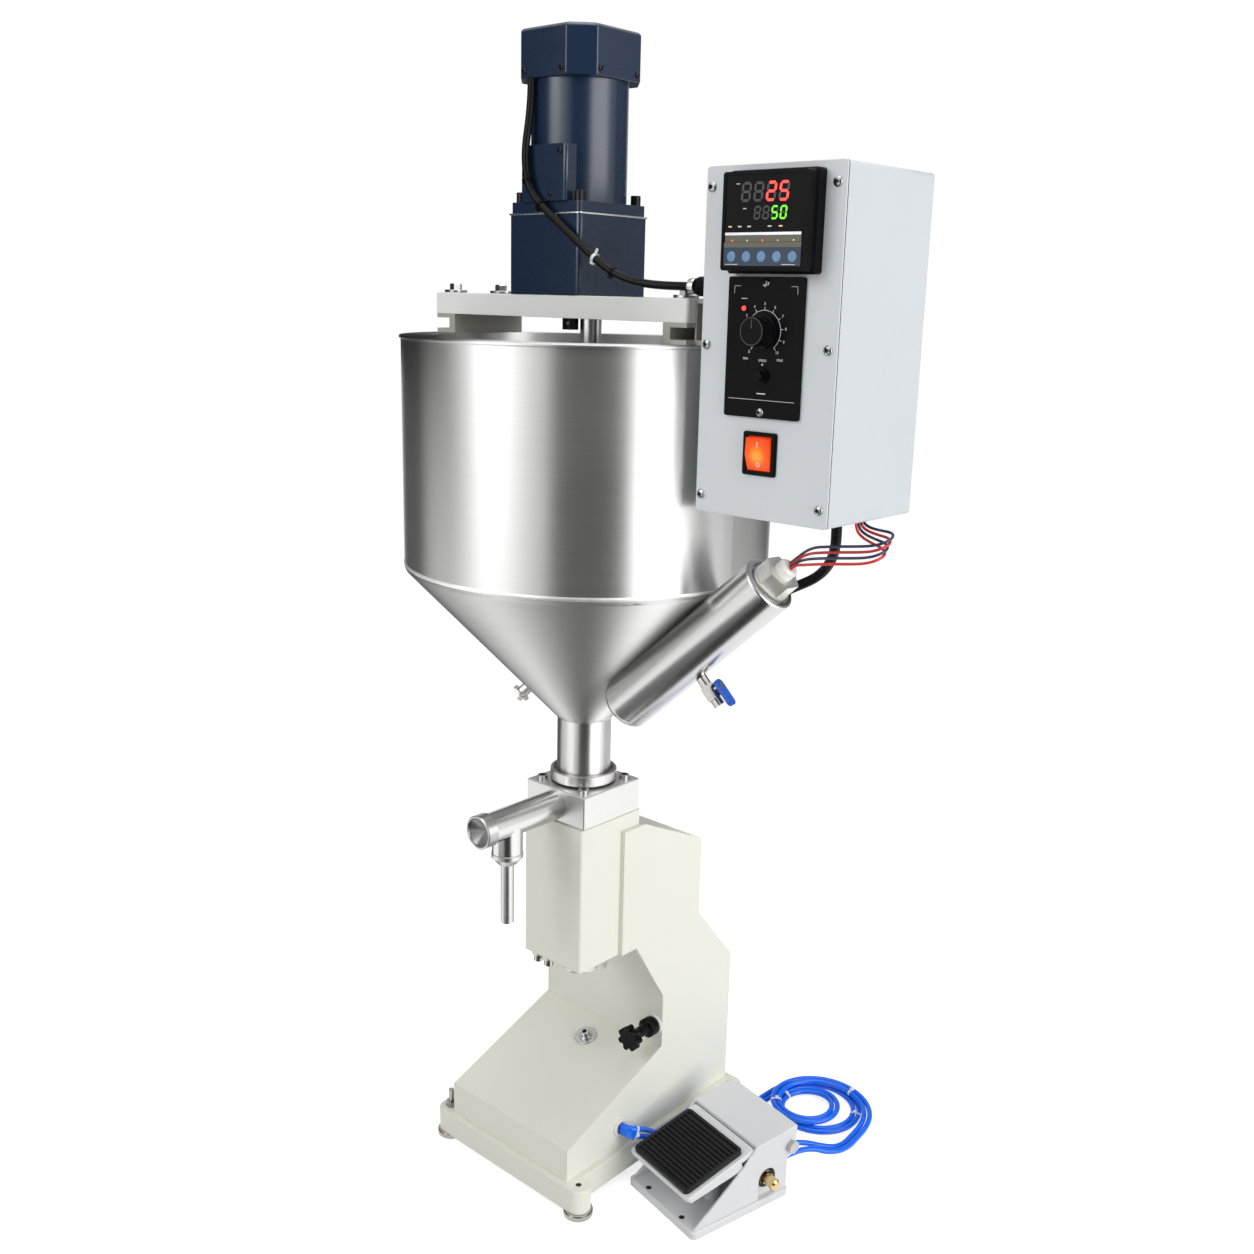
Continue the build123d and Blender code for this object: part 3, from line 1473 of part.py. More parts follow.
def coil_state(turn, side):
    """Place and direction on the coil, counted in turns from where it starts at its left."""
    length = 2 * coil_turns_each_way + 0.5
    middle = length / 2
    from_middle = turn - middle
    if abs(from_middle) >= 0.25:
        grown = abs(from_middle) - 0.25 + 0.125
        growing = 1 if from_middle > 0 else -1
        climb = 0.5 * (1 + growing)
        climbing = 0.0
    else:
        grown = from_middle**2 / 0.5
        growing = from_middle / 0.25
        climb = 0.5 * (1 + sin(2 * pi * from_middle))
        climbing = pi * cos(2 * pi * from_middle)
    widest = middle - 0.25 + 0.125
    inward = (widest - grown) * coil_step
    radius = coil_radius - inward + side * hose_half_pitch
    angle = pi - 2 * pi * turn
    centre = Vector(coil_x - coil_fan * inward, coil_y, hose_floor + climb * coil_layer)
    out = Vector(cos(angle), sin(angle), 0)
    along = Vector(sin(angle), -cos(angle), 0)
    growth = growing * coil_step
    way = out * growth + along * (2 * pi * radius)
    way += Vector(coil_fan * growth, 0, climbing * coil_layer)
    return centre + out * radius, way.normalized()


def make_air_hoses():
    hoses = []
    sampled = []
    turns = 2 * coil_turns_each_way + 0.5
    for side, fitting_u in zip((1, -1), pedal_fitting_u[::-1]):
        lead = []
        for place, turn, spread in zip(hose_leave_port, hose_leave_turn, hose_leave_spread):
            across = Vector(cos(radians(turn)), 0, sin(radians(turn)))
            lead.append(Vector(*place) + across * (side * spread))
        lead[0] = Vector(cover_right + grommet_proud - 2, lead[0].Y, lead[0].Z)
        states = [coil_state(number / 4, side) for number in range(int(4 * turns) + 1)]
        lead += [states[0][0] - states[0][1] * hose_to_coil, states[0][0]]
        back = [states[-1][0], states[-1][0] + states[-1][1] * hose_from_coil]
        for place, turn, spread in zip(hose_reach_pedal, hose_reach_turn, hose_reach_spread):
            across = Vector(cos(radians(turn)), sin(radians(turn)), 0)
            back.append(Vector(*place) + across * (side * spread))
        fitting = pedal_place * pedal_rear(fitting_u)
        reach = fitting_hex_length + fitting_collet_length
        back.append((fitting * Pos(0, 0, reach + hose_straight_end)).position)
        back.append((fitting * Pos(0, 0, reach)).position)
        radii_in = arc_radii(lead)
        radii_out = arc_radii(back)
        edges = FilletPolyline(*lead, radius=radii_in).edges()
        for before, after in zip(states, states[1:]):
            edges += biarc(before[0], before[1], after[0], after[1])
        edges += FilletPolyline(*back, radius=radii_out).edges()
        path = Wire(edges)
        section = Plane(origin=lead[0], z_dir=lead[1] - lead[0]) * Circle(hose_diameter / 2)
        hose = sweep(section, path)
        share = hose.volume / (pi * hose_diameter**2 / 4 * path.length)
        shown = ", ".join(f"{radius:.0f}" for radius in radii_in + radii_out)
        print(f"air hose: length {path.length:.0f} mm, volume {share:.4f} of section times length")
        print(f"air hose: radii {shown}")
        count = int(path.length / 2)
        points = [path @ (number / count) for number in range(count + 1)]
        sampled.append(points)
        apart = int(4 * hose_diameter / 2)
        least = min(
            (first - second).length
            for number, first in enumerate(points)
            for second in points[number + apart:]
        )
        print(f"air hose: least gap to itself {least - hose_diameter:.2f} mm")
        hoses.append(hose)
    between = min((first - second).length for first in sampled[0] for second in sampled[1])
    print(f"air hoses: least gap between them {between - hose_diameter:.2f} mm")
    return Compound(hoses)


pieces = {
    "levelling_feet": make_levelling_feet(),
    "base_plate": make_base_plate(),
    "column_casing": make_column_casing(),
    "hose_grommet": make_hose_grommet(),
    "star_knob": make_star_knob(),
    "head_casing": make_head_casing(),
    "cylinder_end_cap": make_cylinder_end_cap(),
    "air_cylinder": make_air_cylinder(),
    "metering_cylinder": make_metering_cylinder(),
    "piston_rod": make_piston_rod(),
    "metering_piston": make_metering_piston(),
    "air_fittings": make_air_fittings(),
    "valve_block": make_valve_block(),
    "inlet_poppet": make_inlet_poppet(),
    "inlet_spring": make_inlet_spring(),
    "discharge_tube": make_discharge_tube(),
    "discharge_cap": make_discharge_cap(),
    "outlet_poppet": make_outlet_poppet(),
    "outlet_spring": make_outlet_spring(),
    "nozzle": make_nozzle(),
    "union_seal": make_union_seal(),
    "union_ring": make_union_ring(),
    "hopper_vessel": make_hopper_vessel(),
    "hopper_jacket": make_hopper_jacket(),
    "heater_tube": make_heater_tube(),
    "jacket_plugs": make_jacket_plugs(),
    "ceramic_insulator": make_ceramic_insulator(),
    "drain_valve": make_drain_valve(),
    "drain_lever": make_drain_lever(),
    "arm_brackets": Compound([*make_arm_standoffs(), make_box_bracket()]),
    "mixer_arm": make_mixer_arm(),
    "gearbox": make_gearbox(),
    "motor_body": make_motor_body(),
    "fan_cover": make_fan_cover(),
    "capacitor_cover": make_capacitor_cover(),
    "mixer_shaft": make_mixer_shaft(),
    "control_box": make_control_box(),
    "front_panel": make_front_panel(),
    "cable_gland": make_cable_gland(),
    "temperature_controller": make_temperature_controller(),
    "speed_panel": make_speed_panel(),
    "speed_knob": make_speed_knob(),
    "reset_button": make_reset_button(),
    "rocker_frame": make_rocker_frame(),
    "rocker": make_rocker(),
    "pedal_housing": make_pedal_housing(),
    "pedal_plate": make_pedal_plate(),
    "pedal_pad": make_pedal_pad(),
    "pedal_pin": make_pedal_pin(),
    "pedal_spring": make_pedal_spring(),
    "pedal_plunger": make_pedal_plunger(),
    "silencer": make_silencer(),
    "motor_lead": make_motor_lead(),
    "heater_leads": make_heater_leads(),
    "air_hoses": make_air_hoses(),
}
for number, x in enumerate(key_places()):
    pieces[f"controller_key_{number + 1}"] = make_controller_key(x)

os.makedirs("parts", exist_ok=True)
to_origin = Pos(-centre_x, -centre_y, 0)
for name, piece in pieces.items():
    export_step(to_origin * piece, f"parts/{name}.step")
print(f"{len(pieces)} pieces, origin {centre_x:.3f}, {centre_y:.3f} from the hopper's axis")
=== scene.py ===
import bmesh
import bpy
import json
from itertools import product
from math import cos, pi, radians, sin
from mathutils import Matrix, Vector


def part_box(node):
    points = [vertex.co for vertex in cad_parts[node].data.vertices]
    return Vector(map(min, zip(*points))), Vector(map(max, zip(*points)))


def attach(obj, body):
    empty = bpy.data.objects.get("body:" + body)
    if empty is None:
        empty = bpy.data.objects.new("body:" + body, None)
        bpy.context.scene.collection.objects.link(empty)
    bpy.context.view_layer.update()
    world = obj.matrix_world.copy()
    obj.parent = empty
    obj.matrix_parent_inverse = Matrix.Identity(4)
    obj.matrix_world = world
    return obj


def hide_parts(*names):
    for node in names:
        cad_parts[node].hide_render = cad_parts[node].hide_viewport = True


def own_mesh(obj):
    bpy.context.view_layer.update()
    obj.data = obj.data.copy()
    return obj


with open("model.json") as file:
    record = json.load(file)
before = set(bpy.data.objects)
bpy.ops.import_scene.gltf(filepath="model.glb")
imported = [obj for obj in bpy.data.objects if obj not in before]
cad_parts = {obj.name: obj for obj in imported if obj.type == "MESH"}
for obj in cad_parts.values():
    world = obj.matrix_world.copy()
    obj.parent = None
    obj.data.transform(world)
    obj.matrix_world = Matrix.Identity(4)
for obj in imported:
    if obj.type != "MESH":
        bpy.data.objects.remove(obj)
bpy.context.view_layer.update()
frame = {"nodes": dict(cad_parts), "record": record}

nodes = frame["nodes"]
MACHINE = "machine"
UP = (0, 0, 1)
FRONT = (0, -1, 0)

# Places are written in millimetres from the hopper's axis, as the machine was drawn
AXIS_X = 65.75
AXIS_Y = 17.25
MM = 0.001

# Faces and middles that several pieces share
BLOCK_TOP = 450
ARM_TOP = 924
FLANGE_TOP = 1005
MOTOR_X = -18
COVER_SCREW_Z = 1115
PANEL_FACE = -57
CONTROLLER_X = 249.3
SPEED_X = 241.9
SPEED_FACE = -60
SPEED_PRINT = -60.05
SPEED_KNOB_Z = 900.5
SPEED_KNOB_FRONT = -76.5


def place(x, y, z):
    """A point in the row frame, in metres."""
    return Vector(((x - AXIS_X) * MM, (y - AXIS_Y) * MM, z * MM))


def axes_at(spot, x, y, z):
    """Matrix at a place in metres, with its local axes."""
    return Matrix.Translation(spot) @ Matrix((x, y, z)).transposed().to_4x4()


def facing(point, out=FRONT, up=UP):
    """Matrix in metres at a point, local Z along out and local Y as near to up as it can be."""
    z = Vector(out).normalized()
    x = Vector(up).cross(z)
    if x.length < 1e-6:
        x = Vector((1, 0, 0))
    x.normalize()
    return axes_at(place(*point), x, z.cross(x), z)


def moved(spot, x, y, z):
    """Matrix shifted along its own axes, in millimetres."""
    return spot @ Matrix.Translation((x * MM, y * MM, z * MM))


def new_object(name, data):
    """An object in the scene."""
    made = bpy.data.objects.new(name, data)
    bpy.context.scene.collection.objects.link(made)
    return made


# Camera at the photograph's place
CAMERA_AT = (861.3, -910.9, 924.7)
CAMERA_AZIMUTH = radians(41.55)
CAMERA_ELEVATION = radians(14.15)
CAMERA_ROLL = radians(1.40)
CAMERA_LENS = 37.69
CAMERA_SENSOR = 36
CAMERA_SIGHT = 50


def make_camera():
    az, el, roll = CAMERA_AZIMUTH, CAMERA_ELEVATION, CAMERA_ROLL
    back = Vector((sin(az) * cos(el), -cos(az) * cos(el), sin(el)))
    right = Vector((cos(az), sin(az), 0))
    up = back.cross(right)
    x = right * cos(roll) + up * sin(roll)
    y = up * cos(roll) - right * sin(roll)
    data = bpy.data.cameras.new("photo_camera")
    data.lens = CAMERA_LENS
    data.sensor_width = CAMERA_SENSOR
    data.clip_end = CAMERA_SIGHT
    camera = new_object("photo_camera", data)
    camera.matrix_world = axes_at(place(*CAMERA_AT), x, y, back)
    bpy.context.scene.camera = camera


make_camera()

# Materials

FINE_RELIEF = 0.0003
PEEL_RELIEF = 0.0004
LENS_REACH = 0.017


def feed(tree, node, inputs):
    """Sets a node's inputs, by name or number, to values, or links them to outputs."""
    for name, value in inputs.items():
        if isinstance(value, bpy.types.NodeSocket):
            tree.links.new(value, node.inputs[name])
        else:
            node.inputs[name].default_value = value


def add(tree, kind, inputs, **properties):
    """A node with its properties and inputs set."""
    node = tree.nodes.new(kind)
    for name, value in properties.items():
        setattr(node, name, value)
    feed(tree, node, inputs)
    return node


def reckon(tree, operation, *values):
    """Output of a math node on values or outputs."""
    return add(tree, "ShaderNodeMath", dict(enumerate(values)), operation=operation).outputs[0]


def new_material(name):
    """A node material, its tree and its shader."""
    made = bpy.data.materials.new(name)
    made.use_nodes = True
    return made, made.node_tree, made.node_tree.nodes["Principled BSDF"]


def surface(name):
    """A node material, its tree, its shader and the object's coordinates."""
    made, tree, shader = new_material(name)
    return made, tree, shader, add(tree, "ShaderNodeTexCoord", {}).outputs["Object"]


def noise(tree, where, scale, detail, stretch=None):
    """Noise over object coordinates, stretched by factors on each axis."""
    if stretch:
        where = add(tree, "ShaderNodeMapping", {"Vector": where, "Scale": stretch}).outputs["Vector"]
    inputs = {"Vector": where, "Scale": scale, "Detail": detail}
    return add(tree, "ShaderNodeTexNoise", inputs).outputs["Fac"]


def ramp(tree, factor, low, high):
    """Colour ramp between two colours."""
    node = add(tree, "ShaderNodeValToRGB", {"Fac": factor})
    stops = node.color_ramp.elements
    stops[0].position, stops[0].color = 0.3, (*low, 1)
    stops[1].position, stops[1].color = 0.7, (*high, 1)
    return node.outputs["Color"]


def tinted(tree, factor, colour, vary):
    """A colour that varies by a share either way."""
    low, high = (tuple(min(1, part * share) for part in colour) for share in (1 - vary, 1 + vary))
    return ramp(tree, factor, low, high)


def spread(tree, factor, low, high):
    """Value mapped from the middle of a noise's range to low..high."""
    inputs = {"Value": factor, "From Min": 0.25, "From Max": 0.75, "To Min": low, "To Max": high}
    return add(tree, "ShaderNodeMapRange", inputs).outputs["Result"]


def bump(tree, shader, height, strength, distance, edge=0.0):
    """Surface relief from a height, and the shading of edges worn to a radius in millimetres."""
    relief = add(tree, "ShaderNodeBump", {"Height": height, "Strength": strength, "Distance": distance})
    if edge:
        worn = add(tree, "ShaderNodeBevel", {"Radius": edge * MM}, samples=6)
        feed(tree, relief, {"Normal": worn.outputs["Normal"]})
    feed(tree, shader, {"Normal": relief.outputs["Normal"]})


def painted(name, colour, rough, peel, vary, coat, gloss, edge=1.0):
    """Sprayed paint: slight orange peel, faint unevenness in colour and gloss."""
    made, tree, shader, where = surface(name)
    feed(tree, shader, {
        "Base Color": tinted(tree, noise(tree, where, 9, 4), colour, vary),
        "Roughness": spread(tree, noise(tree, where, 40, 3), *rough),
        "Specular IOR Level": gloss, "Coat Weight": coat, "Coat Roughness": 0.18,
    })
    bump(tree, shader, noise(tree, where, 650, 2), peel, PEEL_RELIEF, edge)
    return made


def brushed(name, colour, stretch, rough, depth, vary, round_axis=None, coarse=None):
    """Brushed metal: fine lines along the axes with small stretch factors, or round an axis.

    Coarse is the (lower height, upper height, roughness) of a part brushed with a coarser belt.
    """
    made, tree, shader, where = surface(name)
    lines = noise(tree, where, 1, 5, stretch)
    broad = noise(tree, where, 14, 3)
    mixed = reckon(tree, "MULTIPLY_ADD", lines, 0.6, reckon(tree, "MULTIPLY", broad, 0.4))
    roughness = spread(tree, mixed, *rough)
    if coarse:
        low, high, rougher = coarse
        height = add(tree, "ShaderNodeSeparateXYZ", {0: where}).outputs["Z"]
        within = reckon(tree, "COMPARE", height, (low + high) / 2, (high - low) / 2)
        roughness = reckon(tree, "MULTIPLY_ADD", within, rougher - sum(rough) / 2, roughness)
    colours = tinted(tree, lines, colour, vary)
    feed(tree, shader, {"Base Color": colours, "Roughness": roughness, "Metallic": 1})
    if round_axis:
        tangent = add(tree, "ShaderNodeTangent", {}, direction_type="RADIAL", axis=round_axis).outputs[0]
        feed(tree, shader, {"Anisotropic": 0.9, "Anisotropic Rotation": 0.25, "Tangent": tangent})
    bump(tree, shader, lines, depth, FINE_RELIEF)
    return made


def plain_metal(name, colour, rough=(0.14, 0.26), grain=420, depth=0.05, vary=0.06):
    """Turned or plated metal: faint mottling and fine grain."""
    made, tree, shader, where = surface(name)
    mottle = noise(tree, where, 60, 4)
    feed(tree, shader, {
        "Base Color": tinted(tree, mottle, colour, vary), "Roughness": spread(tree, mottle, *rough),
        "Metallic": 1,
    })
    bump(tree, shader, noise(tree, where, grain, 2), depth, FINE_RELIEF)
    return made


def moulded(name, colour, rough, grain=800, depth=0.1, vary=0.12, coat=0.0, gloss=0.5, glow=None):
    """Moulded plastic, rubber or ceramic: fine grain, uneven gloss."""
    made, tree, shader, where = surface(name)
    cloud = noise(tree, where, 45, 4)
    feed(tree, shader, {
        "Base Color": tinted(tree, cloud, colour, vary), "Roughness": spread(tree, cloud, *rough),
        "Specular IOR Level": gloss, "Coat Weight": coat, "Coat Roughness": 0.1,
    })
    if glow:
        feed(tree, shader, {"Emission Color": (*glow[0], 1), "Emission Strength": glow[1]})
    bump(tree, shader, noise(tree, where, grain, 2), depth, FINE_RELIEF)
    return made


def glowing(name, centre):
    """Translucent switch lens lit by one lamp behind its middle."""
    made, tree, shader, where = surface(name)
    away = add(tree, "ShaderNodeVectorMath", {0: where, 1: centre}, operation="DISTANCE").outputs["Value"]
    reach = add(tree, "ShaderNodeMapRange", {"Value": away, "From Max": LENS_REACH}).outputs["Result"]
    colours = add(tree, "ShaderNodeValToRGB", {"Fac": reach})
    stops = colours.color_ramp.elements
    stops[0].position, stops[0].color = 0.12, (1, 0.50, 0.045, 1)
    stops[1].position, stops[1].color = 1, (0.62, 0.028, 0.004, 1)
    stops.new(0.5).color = (1, 0.13, 0.006, 1)
    cloud = noise(tree, where, 120, 3)
    feed(tree, shader, {
        "Emission Color": colours.outputs["Color"], "Emission Strength": 0.72,
        "Base Color": ramp(tree, cloud, (0.50, 0.03, 0.004), (0.60, 0.05, 0.006)),
        "Roughness": spread(tree, cloud, 0.14, 0.22), "Specular IOR Level": 0.25,
    })
    bump(tree, shader, noise(tree, where, 500, 2), 0.04, FINE_RELIEF)
    return made


CREAM = (0.83, 0.832, 0.74)
NAVY = (0.008, 0.023, 0.056)
STEEL = (0.64, 0.64, 0.635)
# The cone's lower and upper height in metres, and its roughness
CONE_FINISH = (0.5205, 0.6745, 0.66)
ROCKER_LAMP = place(SPEED_X, -62, 803.5)
RED_GLOW = ((1, 0.06, 0.05), 1.6)
GREEN_GLOW = ((0.16, 0.85, 0.03), 1.1)
LOOKS = (
    ("motor_blue", painted, NAVY, (0.265, 0.29), 0.03, 0.02, 0, 0.6),
    ("body_cream", painted, CREAM, (0.34, 0.44), 0.12, 0.012, 0.05, 0.3, 1.6),
    ("arm_grey", painted, (0.88, 0.89, 0.875), (0.34, 0.44), 0.12, 0.015, 0.05, 0.3),
    ("bracket_grey", painted, (0.42, 0.41, 0.36), (0.34, 0.46), 0.12, 0.03, 0.05, 0.4),
    ("box_grey", painted, (0.735, 0.775, 0.805), (0.34, 0.44), 0.2, 0.015, 0.05, 0.3),
    # A darker copy of the box grey for the box's shell: painted shade on its sides
    ("box_shell", painted, (0.62, 0.655, 0.68), (0.34, 0.44), 0.2, 0.015, 0.05, 0.3),
    ("hopper_steel", brushed, STEEL, (3, 3, 1500), (0.36, 0.44), 0.03, 0.025, "Z", CONE_FINISH),
    ("heater_steel", brushed, (0.6, 0.6, 0.595), (700, 700, 700), (0.22, 0.28), 0.02, 0.03),
    ("block_steel", brushed, (0.7, 0.7, 0.685), (12, 900, 900), (0.4, 0.48), 0.02, 0.03),
    ("tube_steel", brushed, (0.67, 0.67, 0.665), (600, 600, 600), (0.2, 0.27), 0.02, 0.03),
    ("satin_steel", brushed, (0.64, 0.63, 0.615), (600, 600, 600), (0.3, 0.38), 0.02, 0.03),
    # Lighter than steel can be: a painted highlight along the weld bead
    ("bead_steel", plain_metal, (0.94, 0.94, 0.93), (0.42, 0.5)),
    ("plug_nickel", plain_metal, (0.8, 0.785, 0.75), (0.44, 0.54), 300, 0.03, 0.04),
    ("foot_steel", plain_metal, (0.38, 0.365, 0.345)),
    ("turned_cap", brushed, (0.52, 0.52, 0.515), (600, 40, 600), (0.3, 0.38), 0.02, 0.03, "Y"),
    # A darker copy of the cap's turned steel: painted shade in the cap's dish
    ("dish_steel", brushed, (0.24, 0.24, 0.24), (600, 40, 600), (0.3, 0.38), 0.02, 0.03, "Y"),
    ("nickel", plain_metal, (0.5, 0.485, 0.455)),
    ("pedal_alloy", painted, (0.7, 0.715, 0.735), (0.32, 0.42), 0.22, 0.02, 0.1, 0.4),
    ("black_plastic", moulded, (0.0035, 0.0035, 0.004), (0.26, 0.36), 800, 0.1, 0.12, 0, 0.08),
    ("bakelite", moulded, (0.005, 0.005, 0.006), (0.16, 0.24), 300, 0.05, 0.1, 0, 0.09),
    ("key_blue", moulded, (0.16, 0.3, 0.5), (0.22, 0.32), 600, 0.05, 0.1, 0.2),
    ("lamp_orange", glowing, ROCKER_LAMP),
    ("grommet_cream", moulded, (0.76, 0.74, 0.66), (0.35, 0.45)),
    ("ceramic", moulded, (0.84, 0.83, 0.79), (0.25, 0.4), 400, 0.1, 0.04),
    ("lever_blue", moulded, (0.015, 0.11, 0.55), (0.22, 0.32), 500, 0.08, 0.1, 0.3),
    ("hose_blue", moulded, (0.002, 0.155, 0.92), (0.16, 0.24), 300, 0.03, 0.05, 0.1, 0.4),
    ("lead_black", moulded, (0.005, 0.005, 0.005), (0.34, 0.46), 500, 0.12, 0.15, 0, 0.14),
    ("lead_red", moulded, (0.62, 0.012, 0.012), (0.28, 0.38), 500, 0.05, 0.1, 0.1),
    ("lead_navy", moulded, (0.015, 0.022, 0.075), (0.28, 0.38), 500, 0.05, 0.1, 0.1),
    ("black_rubber", moulded, (0.011, 0.011, 0.012), (0.36, 0.48), 700, 0.12, 0.15, 0, 0.2),
    ("brass", plain_metal, (0.7, 0.53, 0.27), (0.2, 0.32), 500, 0.08, 0.1),
    ("spring_steel", plain_metal, (0.5, 0.5, 0.5)),
    ("zinc", plain_metal, (0.52, 0.52, 0.525), (0.2, 0.32), 300, 0.05, 0.08),
    ("black_oxide", plain_metal, (0.03, 0.03, 0.032), (0.3, 0.42), 400, 0.08, 0.15),
    ("tie_white", moulded, (0.82, 0.83, 0.84), (0.35, 0.45), 400, 0.05, 0.03),
    ("display_glass", moulded, (0.0025, 0.0025, 0.003), (0.06, 0.12), 200, 0.01, 0.1, 0, 0.14),
    ("digit_off", moulded, (0.045, 0.042, 0.042), (0.2, 0.3), 300, 0.02, 0.1),
    ("digit_red", moulded, (0.8, 0.03, 0.02), (0.2, 0.3), 300, 0.02, 0.05, 0, 0.5, RED_GLOW),
    ("digit_green", moulded, (0.1, 0.6, 0.02), (0.2, 0.3), 300, 0.02, 0.05, 0, 0.5, GREEN_GLOW),
    ("strip_silver", brushed, (0.75, 0.75, 0.76), (40, 900, 900), (0.2, 0.3), 0.05, 0.05),
    ("band_olive", moulded, (0.135, 0.13, 0.095), (0.25, 0.35), 300, 0.03, 0.08),
    ("band_blue", moulded, (0.02, 0.045, 0.085), (0.2, 0.3), 300, 0.03, 0.12),
    ("print_white", moulded, (0.78, 0.78, 0.78), (0.4, 0.5), 600, 0.04, 0.05),
    # Near-black finish for holes, screw sockets and the panel's seam: painted shade where little light gets
    # in
    ("hole_dark", moulded, (0.006, 0.006, 0.006), (0.5, 0.6), 300, 0.05, 0.2),
)
looks = {name: maker(name, *values) for name, maker, *values in LOOKS}

# The control box's shell takes the darker copy of the box grey, painted shade on its sides
NODE_LOOKS = {
    "heater_tube": "heater_steel", "discharge_cap": "turned_cap", "nozzle": "satin_steel",
    "union_ring": "satin_steel", "control_box": "box_shell", "levelling_feet": "foot_steel",
    "jacket_plugs": "plug_nickel",
}
for entry in frame["record"]["subparts"]:
    mesh = nodes[entry["node"]].data
    mesh.materials.clear()
    mesh.materials.append(looks[NODE_LOOKS.get(entry["node"], entry["material_slot"])])

# Folded and moulded edges are rounded a little, so that they catch the light
EDGE_ROUNDS = {
    "control_box": 0.8, "front_panel": 0.7, "mixer_arm": 1, "gearbox": 0.7, "fan_cover": 1,
    "capacitor_cover": 0.8, "temperature_controller": 0.5, "speed_panel": 0.5, "rocker_frame": 0.6,
    "rocker": 0.5, "star_knob": 0.9,
}


def bevelled(thing, width, angle):
    """Rounds the edges sharper than an angle in degrees with a modifier, the mesh left as it is."""
    rounding = thing.modifiers.new("edges", "BEVEL")
    rounding.width = width * MM
    rounding.segments = 2
    rounding.limit_method = "ANGLE"
    rounding.angle_limit = radians(angle)
    return rounding


for name, width in EDGE_ROUNDS.items():
    joined = nodes[name].modifiers.new("joined", "WELD")
    joined.merge_threshold = 0.00001
    bevelled(nodes[name], width, 38).harden_normals = True

# Mesh building

SMOOTH_ANGLE = radians(35)
HEX_RATIO = 1.732


class Shape:
    """Faces of one piece, in metres, built from sizes in millimetres."""

    def __init__(self, *finishes):
        self.faces = bmesh.new()
        self.finishes = finishes

    def loop(self, outline, height, spot):
        """Corners of an outline of (x, y) points, at a height along the spot's Z."""
        return [self.faces.verts.new(spot @ Vector((x * MM, y * MM, height * MM))) for x, y in outline]

    def face(self, corners, finish=0):
        self.faces.faces.new(corners).material_index = finish

    def band(self, one, two, finish=0):
        """Faces between two loops with the same number of corners."""
        for number in range(len(one)):
            after = (number + 1) % len(one)
            self.face((one[number], one[after], two[after], two[number]), finish)

    def lathe(self, outline, spot, finish=0, steps=32):
        """Solid turned about the spot's Z from (radius, height) points."""
        loops = []
        for radius, height in outline:
            loops.append(self.loop(circle(radius, steps) if radius else [(0, 0)], height, spot))
        for low, high in zip(loops, loops[1:]):
            for step in range(steps):
                after = (step + 1) % steps
                ends = ((low, step), (low, after), (high, after), (high, step))
                unique = list(dict.fromkeys(loop[number % len(loop)] for loop, number in ends))
                if len(unique) > 2:
                    self.face(unique, finish)

    def prism(self, outline, low, high, spot, finish=0):
        """Closed prism from (x, y) points between two heights along the spot's Z."""
        bottom, top = self.loop(outline, low, spot), self.loop(outline, high, spot)
        self.face(bottom[::-1], finish)
        self.face(top, finish)
        self.band(bottom, top, finish)

    def ring(self, outer, inner, low, high, spot, finish=0):
        """Closed band between two outlines with the same number of points."""
        edges = ((outer, low), (outer, high), (inner, high), (inner, low))
        loops = [self.loop(outline, height, spot) for outline, height in edges]
        for one, two in zip(loops, loops[1:] + loops[:1]):
            self.band(one, two, finish)

    def piece(self, name, body=MACHINE, bevel=0.0):
        """The finished piece, on the body it rides."""
        bmesh.ops.recalc_face_normals(self.faces, faces=self.faces.faces)
        mesh = bpy.data.meshes.new(name)
        self.faces.to_mesh(mesh)
        self.faces.free()
        for finish in self.finishes:
            mesh.materials.append(looks[finish])
        mesh.polygons.foreach_set("use_smooth", [True] * len(mesh.polygons))
        mesh.set_sharp_from_angle(angle=SMOOTH_ANGLE)
        made = new_object(name, mesh)
        if bevel:
            bevelled(made, bevel, 40)
        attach(made, body)
        return made


def circle(radius, count=24):
    """Circle as points."""
    return [(radius * cos(2 * pi * n / count), radius * sin(2 * pi * n / count)) for n in range(count)]


def rounded(width, height, corner, steps=5, x=0.0, y=0.0):
    """Rectangle with round corners as points."""
    points = []
    for quarter, (side_x, side_y) in enumerate(((1, 1), (-1, 1), (-1, -1), (1, -1))):
        for step in range(steps + 1):
            turn = pi / 2 * (quarter + step / steps)
            points.append((
                x + side_x * (width / 2 - corner) + corner * cos(turn),
                y + side_y * (height / 2 - corner) + corner * sin(turn),
            ))
    return points


def pan_screw(shape, spot, radius, height, finish=0, socket_shade=1):
    """Domed screw with a hexagon socket, the socket's bottom in a near-black finish as painted shade."""
    dome = [(radius * cos(a), height * (0.25 + 0.75 * sin(a))) for a in (0, 0.35, 0.7, 1)]
    socket = radius * 0.42
    shape.lathe([(radius * 0.98, 0), *dome, (socket, height * 0.98), (socket, height * 0.45)], spot, finish)
    shape.lathe([(socket, height * 0.45), (0, height * 0.40)], spot, socket_shade, 6)


def socket_screw(shape, spot, radius, height):
    """Cylinder-head screw with its hexagon socket, the socket's bottom in the second, near-black finish as
    painted shade.
    """
    socket = radius * 0.52
    rim = [(radius, 0), (radius, height - 0.6), (radius - 0.6, height)]
    shape.lathe([*rim, (socket, height), (socket, height * 0.5)], spot)
    shape.lathe([(socket, height * 0.5), (0, height * 0.45)], spot, 1, 6)


def hex_bolt(shape, spot, across, height, washer, washer_height):
    """Hexagon head with its chamfer, on a washer."""
    outline = [
        (across * 0.5, 0), (washer - 0.3, 0), (washer, 0.3), (washer, washer_height - 0.3),
        (washer - 0.3, washer_height), (across * 0.4, washer_height),
    ]
    shape.lathe(outline, spot)
    corner = across / HEX_RATIO
    lifted = moved(spot, 0, 0, washer_height)
    outline = [(0, 0), (corner, 0), (corner, height - 1), (corner * 0.86, height), (0, height)]
    shape.lathe(outline, lifted, 0, 6)


# Screws and bolts

